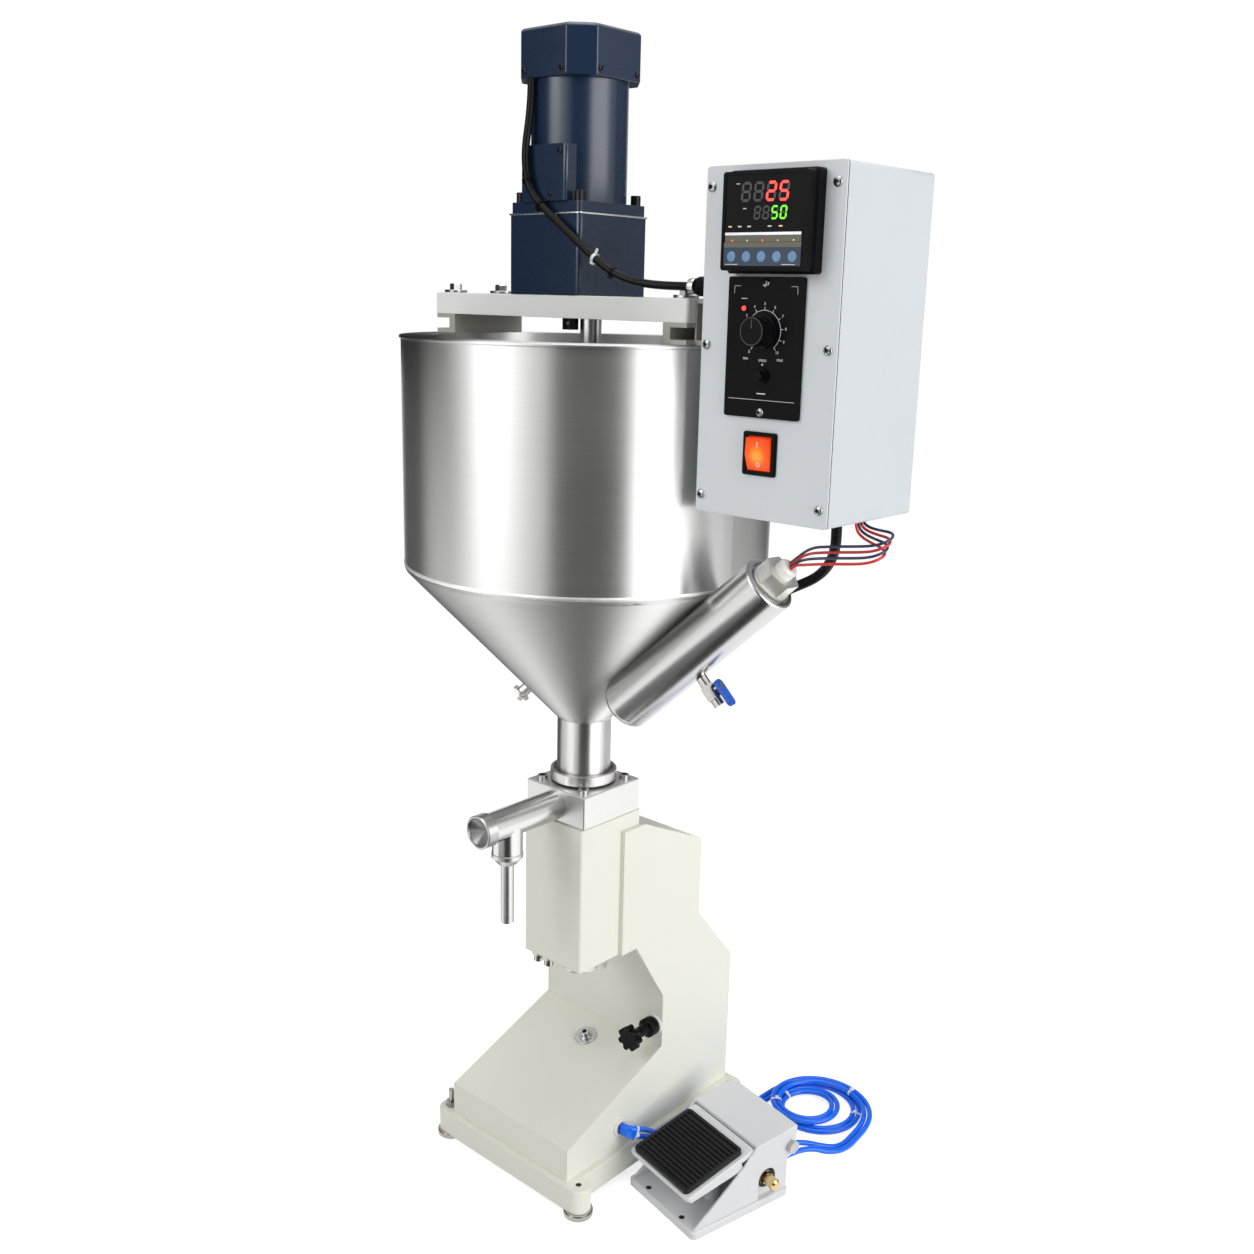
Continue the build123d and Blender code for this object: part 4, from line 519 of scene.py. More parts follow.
def make_fasteners():
    block = Shape("zinc", "hole_dark")
    for x, y in product((-28.7, 28.7), (-29.7, 29.7)):
        socket_screw(block, facing((x, y, BLOCK_TOP), UP), 5.1, 4.2)
    block.piece("valve_block_screws")

    arm = Shape("zinc")
    for x, y in product((-155, 138), (-30, 30)):
        hex_bolt(arm, facing((x, y, ARM_TOP), UP), 10.5, 6, 11, 2.6)
    arm.piece("arm_bolts")

    flange = Shape("black_oxide", "hole_dark")
    for x, y in product((-37, 37), (-37, 37)):
        socket_screw(flange, facing((MOTOR_X + x, y, FLANGE_TOP), UP), 4.6, 9)
    flange.piece("motor_flange_screws")

    cover = Shape("black_oxide", "hole_dark")
    for out, side in ((FRONT, -47), ((0, 1, 0), 47)):
        for x in (-41, 5):
            pan_screw(cover, facing((x, side, COVER_SCREW_Z), out), 2.8, 1.8)
    for out, side in (((1, 0, 0), 29), ((-1, 0, 0), -65)):
        for y in (-24, 24):
            pan_screw(cover, facing((side, y, COVER_SCREW_Z), out), 2.8, 1.8)
    pan_screw(cover, facing((4, -47, 1047)), 2.8, 1.8)
    pan_screw(cover, facing((-8, -47, 1011)), 2, 1.2)
    cover.piece("motor_cover_screws")

    panel = Shape("zinc", "hole_dark")
    for x, z in product((183.6, 300.3), (1009.5, 888.2, 766.5)):
        pan_screw(panel, facing((x, PANEL_FACE, z)), 4, 2.4)
    for z in (937, 838):
        pan_screw(panel, facing((SPEED_X, SPEED_FACE, z)), 3.4, 2.2)
    panel.piece("panel_screws")

    slope = Shape("zinc", "hole_dark")
    tilt = (0, -56.3, 147)
    spot = facing((-41.4, 55.1, 115.2), tilt)
    slope.lathe([(4, 0), (12.3, 0), (12.6, 0.4), (12.6, 1.6), (12.2, 2), (4, 2)], spot, 0, 40)
    lifted = moved(spot, 0, 0, 2)
    slope.lathe([(7.5, 0), (7.5, 1.2), (6.8, 1.8), (4.4, 1.8), (4.4, 1.2)], lifted, 0)
    socket_screw(slope, lifted, 5.2, 6)
    slope.piece("slope_screw")


make_fasteners()

# Small pieces on the machine

BLOCK_FRONT = 41
TUBE_HEIGHT = 433
TUBE_LENGTH = 90


def turned(name, finish, outline, spot, steps):
    """Piece of one finish turned about the spot's Z."""
    shape = Shape(finish)
    shape.lathe(outline, spot, 0, steps)
    shape.piece(name)


def make_machine_details():
    gasket = Shape("strip_silver")
    outer = rounded(92.6, 92.6, 4.6, 5, -0.7, 0.7)
    inner = rounded(87, 87, 4, 5)
    gasket.ring(outer, inner, 0, 1.3, facing((MOTOR_X, 0, 994), UP, (0, 1, 0)))
    gasket.piece("gearbox_gasket", bevel=0.2)

    outline = [(13.02, 0.1), (15, 0.1), (15, 89), (14.2, 89.8), (13.02, 89.8), (13.02, 0.1)]
    spot = facing((0, -BLOCK_FRONT, TUBE_HEIGHT))
    turned("discharge_sleeve", "tube_steel", outline, spot, 72)

    # The cap's dish takes a darker copy of its steel, painted shade
    outline = [(0, 1.05), (13.4, 9.95), (13.4, 10.3), (0, 1.45)]
    spot = facing((0, -BLOCK_FRONT - TUBE_LENGTH, TUBE_HEIGHT))
    turned("discharge_cap_dish", "dish_steel", outline, spot, 72)

    outline = [(9, 0), (18.2, 0), (18.2, 15.9), (16.7, 17.4), (9, 17.4), (9, 0)]
    turned("cylinder_lock_nut", "satin_steel", outline, facing((0, 0, 256.9), (0, 0, -1)), 64)

    guide = Shape("black_oxide", "zinc", "hole_dark")
    guide.prism(rounded(11, 11, 0.8, 3), 0, 11, facing((-14.5, -12.5, 893), UP, (0, 1, 0)))
    pan_screw(guide, facing((-12.5, -18, 899)), 1.6, 0.9, 1, 2)
    guide.piece("shaft_guide_block", bevel=0.4)

    # The weld bead is real; its near-white steel is a painted highlight along it
    outline = [
        (174.2, 2.6), (175.25, 2.4), (175.6, 1.3), (175.55, 0.1), (175, -1), (173.9, -2.1), (172.8, -2.7),
        (172, -2.6), (174.2, 2.6),
    ]
    turned("hopper_weld_bead", "bead_steel", outline, facing((0, 0, 674.8), UP), 160)

    outline = [(5, 0), (10.9, 0), (10.9, 1.7), (10.4, 2.2), (5, 2.2), (5, 0)]
    turned("regulator_washer", "tie_white", outline, facing((34, 84, 150)), 40)

    outline = [(3.9, 0), (6.2, 0), (6.5, 0.4), (6.5, 5.6), (6.2, 6.2), (6.05, 6.2)]
    turned("gland_ferrule", "nickel", outline, facing((149, -38, 933.7), (1, 0, 0)), 32)

    pin = Shape("zinc", "hole_dark")
    pan_screw(pin, facing((174, -30, 895), (-1, 0, 0)), 2.8, 6)
    pin.piece("bracket_screw")

    # Painted shade: a near-black band in the groove between the front panel and the box
    seam = Shape("hole_dark")
    spot = facing((243, -55, 888.5))
    seam.ring(rounded(130.1, 273.1, 3.05), rounded(126, 269, 1.5), -0.5, 0.5, spot)
    seam.piece("panel_seam_shade")


make_machine_details()

# Cords

def smooth_line(name, points):
    """One smooth open line with the route's points as its control points."""
    data = bpy.data.curves.new(name, "CURVE")
    data.dimensions = "3D"
    data.resolution_u = 8
    line = data.splines.new("NURBS")
    line.points.add(len(points) - 1)
    for point, spot in zip(line.points, points):
        point.co = (*place(*spot), 1)
    line.order_u = 3
    line.use_endpoint_u = True
    return data


def line_spots(points):
    """Points read from the route's line, in metres."""
    data = smooth_line("route", points)
    holder = bpy.data.objects.new("route", data)
    mesh = bpy.data.meshes.new_from_object(holder)
    spots = [vertex.co.copy() for vertex in mesh.vertices]
    bpy.data.meshes.remove(mesh)
    bpy.data.objects.remove(holder)
    bpy.data.curves.remove(data)
    return spots


def spot_near(spots, near):
    """Place and direction on a line where it passes a point given in millimetres."""
    target = place(*near)
    number = min(range(1, len(spots) - 1), key=lambda n: (spots[n] - target).length)
    return spots[number], (spots[number + 1] - spots[number - 1]).normalized()


def frame_of(spot, x, z):
    """Matrix at a place in metres, local Z along z and local X as near to x as it can be."""
    z = z.normalized()
    x = (x - z * x.dot(z)).normalized()
    return axes_at(spot, x, z.cross(x), z)


def cord_piece(
    name, points, diameter, look, node,
):
    """A cord along its route's line."""
    data = smooth_line(name, points)
    data.bevel_depth = diameter / 2 * MM
    data.bevel_resolution = 5
    data.use_fill_caps = True
    data.materials.append(looks[look])
    made = new_object(name, data)
    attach(made, MACHINE)
    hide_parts(node)


MOTOR_LEAD = (
    (-34, -45.6, 1109), (-34, -45.6, 1096), (-34.2, -48, 1074), (-34.4, -52, 1053),
    (-33.5, -53, 1034), (-29, -52.6, 1016), (-16, -51.6, 1002), (4, -51.2, 988),
    (28, -51.4, 971.5), (53, -51, 954.5), (77, -49, 941), (99, -45, 935.6),
    (119, -40, 934), (136, -38, 933.7), (151, -38, 933.7),
)
HEATER_LOW = Vector((83.5786, -35.9946, 553.031))
HEATER_HIGH = Vector((232.038, -20.0151, 692.582))
HEATER_WAY = (HEATER_HIGH - HEATER_LOW).normalized()
CERAMIC_TIP = HEATER_HIGH + HEATER_WAY * 25
WIRE_STEP = Vector((0, 3.6, 4.4))
WIRE_ROUTE = (
    (264.2, -16, 719.9), (280, -12, 722.5), (298, -7, 724.5), (310, -4.2, 726),
    (318.4, -3, 728), (323.9, 0.8, 730.5), (326, 7, 733), (323.9, 13.2, 735.3),
    (318.4, 17, 737), (308, 17, 738.5), (299.5, 14.5, 741.5), (295, 12, 747),
)
WIRE_FAN = (*[1] * 8, 0.9, 0.7, 0.5, 0.3)
WIRE_EXIT = Vector((294, 10.7, 764))
PROBE_WAY = Vector((0.62, 0.68, 0.39)).normalized()
PROBE_END = HEATER_LOW + HEATER_WAY * ((HEATER_HIGH - HEATER_LOW).length - 42) + PROBE_WAY * 46
SHEATH_ROUTE = (
    (279.3, 2.4, 764), (279, 4, 740), (275.5, 9.5, 726.5), (268.5, 16, 714), (259.5, 20.5, 702.5),
    (248.7, 21, 693.1),
)
WIRE_LOOKS = ("lead_red", "lead_navy", "lead_red", "lead_navy")
LEAD_RADIUS = 3.5
LEAD_TIES = ((-31.5, -52.8, 1023), (-15, -51.7, 1001.5), (72, -49.4, 943.5))
WHITE_LEAD_TIE = (50, -51, 956.5)
HOSE_RADIUS = 3
TIE_BAND = 0.3
OUTER_FITTING = 34
INNER_FITTING = 18
HOSE_TIES = (0.42, 0.78, 1, 1.9, 2.3)
SLEEVE_WALL = 0.9
SLEEVE_START = 48.3
SLEEVE_END = (60.8, 24, 57)
PORT_TIE = (61.3, 25.6, 56.3)
HOSE_HALF_PITCH = 3.4
HOSE_FLOOR = 3.1
COIL_AT = (140, 262)
COIL_RADIUS = 60
COIL_STEP = 27
COIL_TURNS = 2.5
COIL_LAYER = 6.8
COIL_FAN = 0.5
COIL_POINTS_A_TURN = 16
COIL_CROSSING = 0.25
COIL_LEAD_IN = 40
COIL_LEAD_OUT = 18
# Hose pair out of the casing and into the pedal: its place, its turn in degrees and half its pitch
HOSE_LEAVE = (
    (46, 17, 59.4, 90, 3.4), (54, 17, 59.4, 90, 3.4), (59.3, 19.6, 58.6, 90, 3.8), (62, 25, 56.6, 92, 4.2),
    (62.6, 34.5, 52, 100, 4.4), (62.2, 48, 43.6, 122, 4.3), (62.6, 64, 32.4, 150, 4),
    (64.4, 83, 18.8, 170, 3.6), (67.5, 104.5, 8, 180, 3.4), (71, 130, 3.8, 180, 3.4),
    (75.5, 160, HOSE_FLOOR, 180, 3.4), (79.8, 190, HOSE_FLOOR, 180, 3.4),
)
HOSE_REACH = (
    (204.5, 222, 10.5, 0, 3.4), (202.5, 204.5, 13, -15, 3.8), (195, 190, 17, -37, 5),
    (184.5, 178, 22.5, -10, 6.5),
)
HOSE_STRAIGHT_END = 20
FITTING_LENGTH = 13
FITTING_Z = 27
PEDAL_BACK_WALL = 127.5
PEDAL_AT = Vector((116, 6, 0))
PEDAL_YAW = radians(-12)
PEDAL_ACROSS = Vector((cos(PEDAL_YAW), sin(PEDAL_YAW), 0))
PEDAL_BACK = Vector((-sin(PEDAL_YAW), cos(PEDAL_YAW), 0))
PEDAL_FRAME = frame_of(place(*PEDAL_AT), PEDAL_ACROSS, Vector(UP))
TREADLE_TILT = radians(14.13)
TREADLE_FRAME = moved(PEDAL_FRAME, 0, -6, 46.5) @ Matrix.Rotation(TREADLE_TILT, 4, "X")


def make_pad():
    """Ribbed rubber pad on the treadle, its ridges rounded."""
    width, length, corner, border = 88.6, 77.8, 5, 3.5
    start, base, top = 2, 2.8, 5
    middle = start + length / 2
    pad = Shape("black_rubber")
    outer = rounded(width, length, corner, 6, 0, middle)
    pad.prism(outer, 0, base, TREADLE_FRAME)
    inner = rounded(width - 2 * border, length - 2 * border, corner - border + 0.5, 6, 0, middle)
    pad.ring(outer, inner, base - 0.4, top, TREADLE_FRAME)
    ridges = 13
    step = (length - 2 * border) / (ridges + 1)
    half_rib = [(1.5, base - 0.2), (1.38, 4), (1.05, 4.65), (0.5, top)]
    rib = [(-a, b) for a, b in half_rib] + half_rib[::-1]
    along = Matrix(((0, 0, 1, 0), (1, 0, 0, 0), (0, 1, 0, 0), (0, 0, 0, 1)))
    reach = width / 2 - border + 0.5
    for number in range(1, ridges + 1):
        across = start + border + number * step
        pad.prism([(across + a, b) for a, b in rib][::-1], -reach, reach, TREADLE_FRAME @ along)
    made = pad.piece("pedal_ribbed_pad", "treadle", 0.45)
    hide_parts("pedal_pad")


make_pad()

WELL_RADIUS = 3.15
FOOT_RADIUS = 15.5


def dark_well(shape, spot, low, high):
    """Painted shade: a near-black filling of a bolt hole between two heights."""
    outline = [(WELL_RADIUS, low), (WELL_RADIUS, high), (0, high), (0, low), (WELL_RADIUS, low)]
    shape.lathe(outline, spot, 0, 24)


def make_pedal_details():
    """Bolt holes of the pedal's base filled with painted shade, and the ring round its silencer."""
    holes = Shape("hole_dark")
    for u in (-28, 28):
        dark_well(holes, moved(PEDAL_FRAME, u, 5, 0), 0.3, 7.7)
    holes.piece("pedal_bolt_hole_shade")
    spot = moved(PEDAL_FRAME, 48, 99, 29.5) @ Matrix.Rotation(pi / 2, 4, "Y")
    outline = [
        (8.1, 0), (10.8, 0), (11.1, 0.6), (11.1, 2.4), (10.6, 3), (8.4, 3), (8.1, 2.4), (8.1, 0),
    ]
    turned("silencer_ring", "black_rubber", outline, spot, 40)


def make_ear_holes():
    """Painted shade: near-black wells over the studs that end below the base plate's top."""
    low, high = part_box("levelling_feet")
    reach = FOOT_RADIUS * MM
    left, right, front, back = low[0] + reach, high[0] - reach, low[1] + reach, high[1] - reach
    holes = Shape("hole_dark")
    for x, y in ((right, front), (left, back), (right, back)):
        dark_well(holes, Matrix.Translation((x, y, 0)), 25.6, 33.9)
    holes.piece("ear_hole_shade")


make_pedal_details()
make_ear_holes()

# Springs, copied from their parts onto the machine, the parts hidden
SPRINGS = (
    ("inlet_spring", "inlet_lift", 426, 0.50), ("outlet_spring", "outlet_lift", 403, 0.64),
    ("pedal_spring", "pedal_press", 8, 0.70),
)


def make_springs():
    for node_name, joint, fixed_end, keep in SPRINGS:
        mesh = nodes[node_name].data.copy()
        mesh.transform(nodes[node_name].matrix_world)
        spring = new_object(f"{node_name}_coil", mesh)
        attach(spring, MACHINE)
        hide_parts(node_name)
        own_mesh(spring)


make_springs()


def pedal_point(u, v, z):
    return PEDAL_AT + PEDAL_ACROSS * u + PEDAL_BACK * v + Vector((0, 0, z))


def coil_state(turn, side):
    """Place and direction on the coil, counted in turns from where it starts at its left."""
    middle = COIL_TURNS / 2
    away = turn - middle
    if abs(away) >= COIL_CROSSING:
        grown = abs(away) - COIL_CROSSING / 2
        growing = 1 if away > 0 else -1
        climb = 0.5 * (1 + growing)
        climbing = 0
    else:
        grown = away**2 / (2 * COIL_CROSSING)
        growing = away / COIL_CROSSING
        climb = 0.5 * (1 + sin(2 * pi * away))
        climbing = pi * cos(2 * pi * away)
    inward = (middle - COIL_CROSSING / 2 - grown) * COIL_STEP
    radius = COIL_RADIUS - inward + side * HOSE_HALF_PITCH
    angle = pi - 2 * pi * turn
    out = Vector((cos(angle), sin(angle), 0))
    along = Vector((sin(angle), -cos(angle), 0))
    centre = Vector((COIL_AT[0] - COIL_FAN * inward, COIL_AT[1], HOSE_FLOOR + climb * COIL_LAYER))
    growth = growing * COIL_STEP
    way = out * growth + along * (2 * pi * radius) + Vector((COIL_FAN * growth, 0, climbing * COIL_LAYER))
    return centre + out * radius, way.normalized()


def hose_points(side, fitting_u):
    """Control points of one hose, from the grommet through the coil to the pedal."""
    points = []
    for *spot, turn, half_pitch in HOSE_LEAVE:
        across = Vector((cos(radians(turn)), 0, sin(radians(turn))))
        points.append(Vector(spot) + across * (side * half_pitch))
    start, start_way = coil_state(0, side)
    points.append(start - start_way * COIL_LEAD_IN)
    count = int(COIL_TURNS * COIL_POINTS_A_TURN)
    points += [coil_state(number / COIL_POINTS_A_TURN, side)[0] for number in range(count + 1)]
    end, end_way = coil_state(COIL_TURNS, side)
    points.append(end + end_way * COIL_LEAD_OUT)
    for *spot, turn, half_pitch in HOSE_REACH:
        across = Vector((cos(radians(turn)), sin(radians(turn)), 0))
        points.append(Vector(spot) + across * (side * half_pitch))
    points.append(pedal_point(fitting_u, PEDAL_BACK_WALL + HOSE_STRAIGHT_END + FITTING_LENGTH, FITTING_Z))
    points.append(pedal_point(fitting_u, PEDAL_BACK_WALL + FITTING_LENGTH, FITTING_Z))
    return points


def stadium(half_length, radius, steps=8):
    """Outline around two circles side by side."""
    points = []
    for side, start in ((1, -pi / 2), (-1, pi / 2)):
        for step in range(steps + 1):
            turn = start + pi * step / steps
            points.append((side * half_length + radius * cos(turn), radius * sin(turn)))
    return points


def hose_tie(shape, lines, nears):
    """White tie around the pair of hoses where they pass two points, its head on top."""
    (one, way), (two, other_way) = [spot_near(line, near) for line, near in zip(lines, nears)]
    across = two - one
    frame_at = frame_of((one + two) / 2, across, way + other_way)
    half = across.length / 2 / MM
    shape.ring(stadium(half, HOSE_RADIUS + TIE_BAND), stadium(half, HOSE_RADIUS), -1.3, 1.3, frame_at)
    upward = 1 if frame_at.col[1].z > 0 else -1
    shape.prism(rounded(4, 2.2, 0.5, 3, 0.8, upward * (HOSE_RADIUS + 1.2)), -1.9, 1.9, frame_at)


def hose_sleeve(shape, lines, start_x, near):
    """Sleeve over both hoses from the casing to where they pass a point, along the middle of their lines."""
    first = next(n for n, spot in enumerate(lines[0]) if spot.x > place(start_x, 0, 0).x)
    target = place(*near)
    last = min(range(len(lines[0]) // 4), key=lambda n: ((lines[0][n] + lines[1][n]) / 2 - target).length)
    loops = []
    for number in range(first, last + 1):
        across = lines[1][number] - lines[0][number]
        way = lines[0][number + 1] - lines[0][number - 1] + lines[1][number + 1] - lines[1][number - 1]
        frame_at = frame_of((lines[0][number] + lines[1][number]) / 2, across, way)
        outline = stadium(across.length / 2 / MM - 0.4, HOSE_RADIUS + SLEEVE_WALL)
        loops.append(shape.loop(outline, 0, frame_at))
    for one, two in zip(loops, loops[1:]):
        shape.band(one, two)
    shape.face(loops[0][::-1])
    shape.face(loops[-1])


def lead_tie(shape, spots, near, tail):
    """Tie around the motor lead, with its head and a cut tail of the given length."""
    spot, way = spot_near(spots, near)
    frame_at = frame_of(spot, Vector(FRONT), way)
    shape.ring(circle(LEAD_RADIUS + 0.8), circle(LEAD_RADIUS), -1.5, 1.5, frame_at)
    shape.prism(rounded(3.6, 2.4, 0.4, 3, 0, LEAD_RADIUS + 1.3), -2, 2, frame_at)
    if tail:
        shape.prism(rounded(1, tail, 0.3, 3, 1.6, -LEAD_RADIUS - tail / 2 + 0.6), -1.3, 1.3, frame_at)


def make_cords():
    routes = [hose_points(1, OUTER_FITTING), hose_points(-1, INNER_FITTING)]
    lines = [line_spots(route) for route in routes]
    ties = Shape("tie_white")
    for turn in HOSE_TIES:
        hose_tie(ties, lines, [coil_state(turn, side)[0] for side in (1, -1)])
    hose_tie(ties, lines, [PORT_TIE, PORT_TIE])
    hose_ties = ties.piece("hose_ties", bevel=0.12)
    cover = Shape("hose_blue")
    hose_sleeve(cover, lines, SLEEVE_START, SLEEVE_END)
    sleeve = cover.piece("hose_sleeve")

    lead_line = line_spots(MOTOR_LEAD)
    lead_ties = Shape("black_plastic")
    for near in LEAD_TIES:
        lead_tie(lead_ties, lead_line, near, 0)
    tie = lead_ties.piece("lead_ties", bevel=0.25)
    white = Shape("tie_white")
    lead_tie(white, lead_line, WHITE_LEAD_TIE, 6)
    white_tie = white.piece("lead_white_tie", bevel=0.25)

    cord_piece(
        "motor_cable", MOTOR_LEAD, 2 * LEAD_RADIUS, "lead_black", "motor_lead",
    )
    for number, look in enumerate(WIRE_LOOKS):
        shift = WIRE_STEP * (number - 1.5)
        start = CERAMIC_TIP + (shift - HEATER_WAY * shift.dot(HEATER_WAY)) * 0.6
        points = [start, start + HEATER_WAY * 6]
        for spot, fan in zip(WIRE_ROUTE, WIRE_FAN):
            points.append(Vector(spot) + Vector((shift.x, shift.y, shift.z * fan)))
        points.append(WIRE_EXIT + Vector((shift.x, shift.y, 0)))
        cord_piece(f"heater_wire_{number + 1}", points, 2.4, look, "heater_leads")
    sheath = [*SHEATH_ROUTE, PROBE_END + PROBE_WAY * 12, PROBE_END]
    cord_piece("heater_sheath", sheath, 9, "lead_black", "heater_leads")
    hoses = (("air_hose_outer", 1.146, [hose_ties, sleeve]), ("air_hose_inner", 1.037, []))
    for route, (name, length, pieces) in zip(routes, hoses):
        cord_piece(
            name, route, 2 * HOSE_RADIUS, "hose_blue", "air_hoses",
        )


make_cords()

# Controls on the panel

SEGMENTS = {"0": "abcdef", "2": "abged", "5": "afgcd", " ": ""}
FACE_Y = -78


def digit(shape, character, x, z, width, height, stroke, lit, y):
    """Seven-segment figure on the controller's face, leaning a little."""
    spot = facing((x, y, z))
    half_w, half_h = width / 2, height / 2
    bars = {
        "a": (0, half_h, width, True), "g": (0, 0, width, True), "d": (0, -half_h, width, True),
        "b": (half_w, half_h / 2, half_h, False), "c": (half_w, -half_h / 2, half_h, False),
        "f": (-half_w, half_h / 2, half_h, False), "e": (-half_w, -half_h / 2, half_h, False),
    }
    for name, (cx, cy, length, flat) in bars.items():
        half, reach = stroke / 2, length / 2 - stroke * 0.62
        tip = reach + half
        points = [(-reach, -half), (reach, -half), (tip, 0), (reach, half), (-reach, half), (-tip, 0)]
        if not flat:
            points = [(-b, a) for a, b in points]
        lean = [(cx + a + 0.1 * (cy + b), cy + b) for a, b in points]
        on = name in SEGMENTS[character]
        shape.prism(lean, 0, 0.14 if on else 0.10, spot, lit if on else 0)


def make_controller_face():
    left, top, middle = CONTROLLER_X - 38.9, 981.7 + 36.15, 990.7
    floor = FACE_Y + 0.8
    glass = Shape("display_glass", "band_olive", "strip_silver")
    spot = facing((CONTROLLER_X, floor, middle))
    glass.prism(rounded(71.6, 48.6, 0.6, 3), 0.05, 0.35, spot)
    glass.prism(rounded(70.6, 2, 0.3, 3, 0, top - 45.3 - middle), 0.35, 0.75, spot, 2)
    glass.prism(rounded(70.6, 4.8, 0.3, 3, 0, top - 48.85 - middle), 0.35, 0.5, spot, 1)
    glass.piece("controller_window")
    lower = Shape("band_blue", "band_olive", "print_white")
    spot = facing((CONTROLLER_X, FACE_Y, 955.8))
    lower.prism(rounded(71.6, 13.5, 0.6, 3), 0.03, 0.18, spot)
    lower.prism(rounded(71.6, 3.8, 0.3, 3, 0, 8.7), 0.03, 0.18, spot, 1)
    for x in (-28, 25):
        lower.prism(rounded(12, 0.5, 0.1, 2, x, -5.7), 0.18, 0.24, spot, 2)
    lower.piece("controller_lower_band")
    figures = Shape("digit_off", "digit_red", "digit_green", "print_white", "brass")
    y = floor - 0.36
    for number, character in enumerate("  25"):
        digit(figures, character, left + 22 + 11.6 * number, top - 15, 7, 12.4, 2, 1, y)
    for number, character in enumerate("  50"):
        digit(figures, character, left + 33 + 8 * number, top - 30.2, 4.8, 8.6, 1.4, 2, y)
    for x, finish in ((8, 4), (17, 3), (26, 3), (45, 3), (55, 4)):
        figures.prism(rounded(3.4, 1, 0.2, 2), 0, 0.1, facing((left + x, y, top - 40)), finish)
    for x, drop in ((14, 9), (21, 27)):
        figures.prism(rounded(3, 0.6, 0.1, 2), 0, 0.1, facing((left + x, y, top - drop)), 3)
    for number in range(5):
        spot = facing((CONTROLLER_X + (number - 2) * 14.2, floor - 0.51, top - 50.3))
        figures.lathe([(0.75, 0), (0.6, 0.25), (0, 0.3)], spot, 1 if number in (0, 2) else 4, 12)
    figures.piece("controller_figures")


def text_piece(name, words, x, z, size=2.8):
    """Words printed on the speed panel."""
    data = bpy.data.curves.new(name, "FONT")
    data.body = words
    data.size = size * MM
    data.align_x = data.align_y = "CENTER"
    data.extrude = 0.03 * MM
    data.materials.append(looks["print_white"])
    made = new_object(name, data)
    made.matrix_world = facing((x, SPEED_PRINT, z))
    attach(made, MACHINE)


def make_speed_marks():
    """Scale, lamp and words of the speed panel, and its dial's pointer with a grey ring that is a painted
    highlight on the dial's rim.
    """
    x, y, z = SPEED_X, SPEED_PRINT, SPEED_KNOB_Z
    marks = Shape("print_white", "digit_red", "black_plastic")
    spot = facing((x, y, z))
    start, sweep, count = radians(230), radians(280), 60
    turns = [start - sweep * number / count for number in range(count + 1)]
    outer, inner = ([(radius * cos(turn), radius * sin(turn)) for turn in turns] for radius in (16.2, 15.8))
    for corners in zip(outer, outer[1:], inner[1:], inner):
        marks.prism(corners, 0, 0.08, spot)
    ticks = [start - sweep * number / 10 for number in range(11)]
    for turn in ticks:
        across = Vector((-sin(turn), cos(turn)))
        along = Vector((cos(turn), sin(turn)))
        sides = ((16, -0.25), (18.4, -0.25), (18.4, 0.25), (16, 0.25))
        marks.prism([along * reach + across * side for reach, side in sides], 0, 0.08, spot)
    bars = (
        (64, 0.35, 0.1, 0, 847.5 - z, 0.08), (0.3, 6, 0.1, -30, 31, 0.06), (6, 0.3, 0.1, -27, 34, 0.06),
        (0.3, 6, 0.1, 30, 31, 0.06), (6, 0.3, 0.1, 27, 34, 0.06), (5.5, 0.6, 0.1, -20, 24.5, 0.08),
        (8.5, 0.9, 0.2, 0, 852.5 - z, 0.08),
    )
    for width, height, corner, across, rise, thick in bars:
        marks.prism(rounded(width, height, corner, 2, across, rise), 0, thick, spot)
    lamp = facing((x - 19.3, y, 917.5))
    marks.lathe([(3.1, 0), (3.1, 0.8), (2.4, 1.2), (2, 1.2)], lamp, 2)
    marks.lathe([(2, 0.6), (1.8, 1.9), (1.2, 2.5), (0, 2.8)], lamp, 1)
    marks.lathe([(0.8, 0), (0.8, 0.08), (0, 0.1)], facing((x, y, 874.9)), 0, 16)
    marks.piece("speed_panel_marks")
    # The grey ring stands for the highlight on the dial's rim, painted; the pointer is a real mark
    dial = Shape("digit_off")
    front = facing((x, SPEED_KNOB_FRONT, z))
    dial.ring(circle(10.7, 48), circle(10, 48), 0.02, 0.2, front)
    dial.prism(rounded(0.9, 7, 0.3, 3, 0, 5.6), 0.02, 0.14, front)
    dial.piece("dial_pointer_and_rim_highlight", "speed_dial")
    for number, turn in enumerate(ticks):
        text_piece(f"speed_number_{number}", str(number), x + 20.8 * cos(turn), z + 20.8 * sin(turn), 3.2)
    text_piece("speed_low", "MIN", x - 16.5, z - 21.5)
    text_piece("speed_high", "MAX", x + 16.5, z - 21.5)
    text_piece("speed_word", "SPEED", x, z - 22.5)


def make_rocker_marks():
    """On and off marks on the switch."""
    marks = Shape("print_white")
    tipped = facing((SPEED_X, PANEL_FACE, 805)) @ Matrix.Rotation(radians(8), 4, "X")
    slope = radians(10.72)
    upper = moved(tipped, 0, 8.2, 3.95) @ Matrix.Rotation(-slope, 4, "X")
    lower = moved(tipped, 0, -8.2, 3.95) @ Matrix.Rotation(slope, 4, "X")
    marks.prism(rounded(0.9, 4, 0.3, 3), -0.05, 0.1, upper)
    marks.ring(circle(1.9), circle(1.25), -0.05, 0.1, lower)
    marks.piece("rocker_marks", "switch_rocker")


make_controller_face()
make_speed_marks()
make_rocker_marks()

# Stage and light

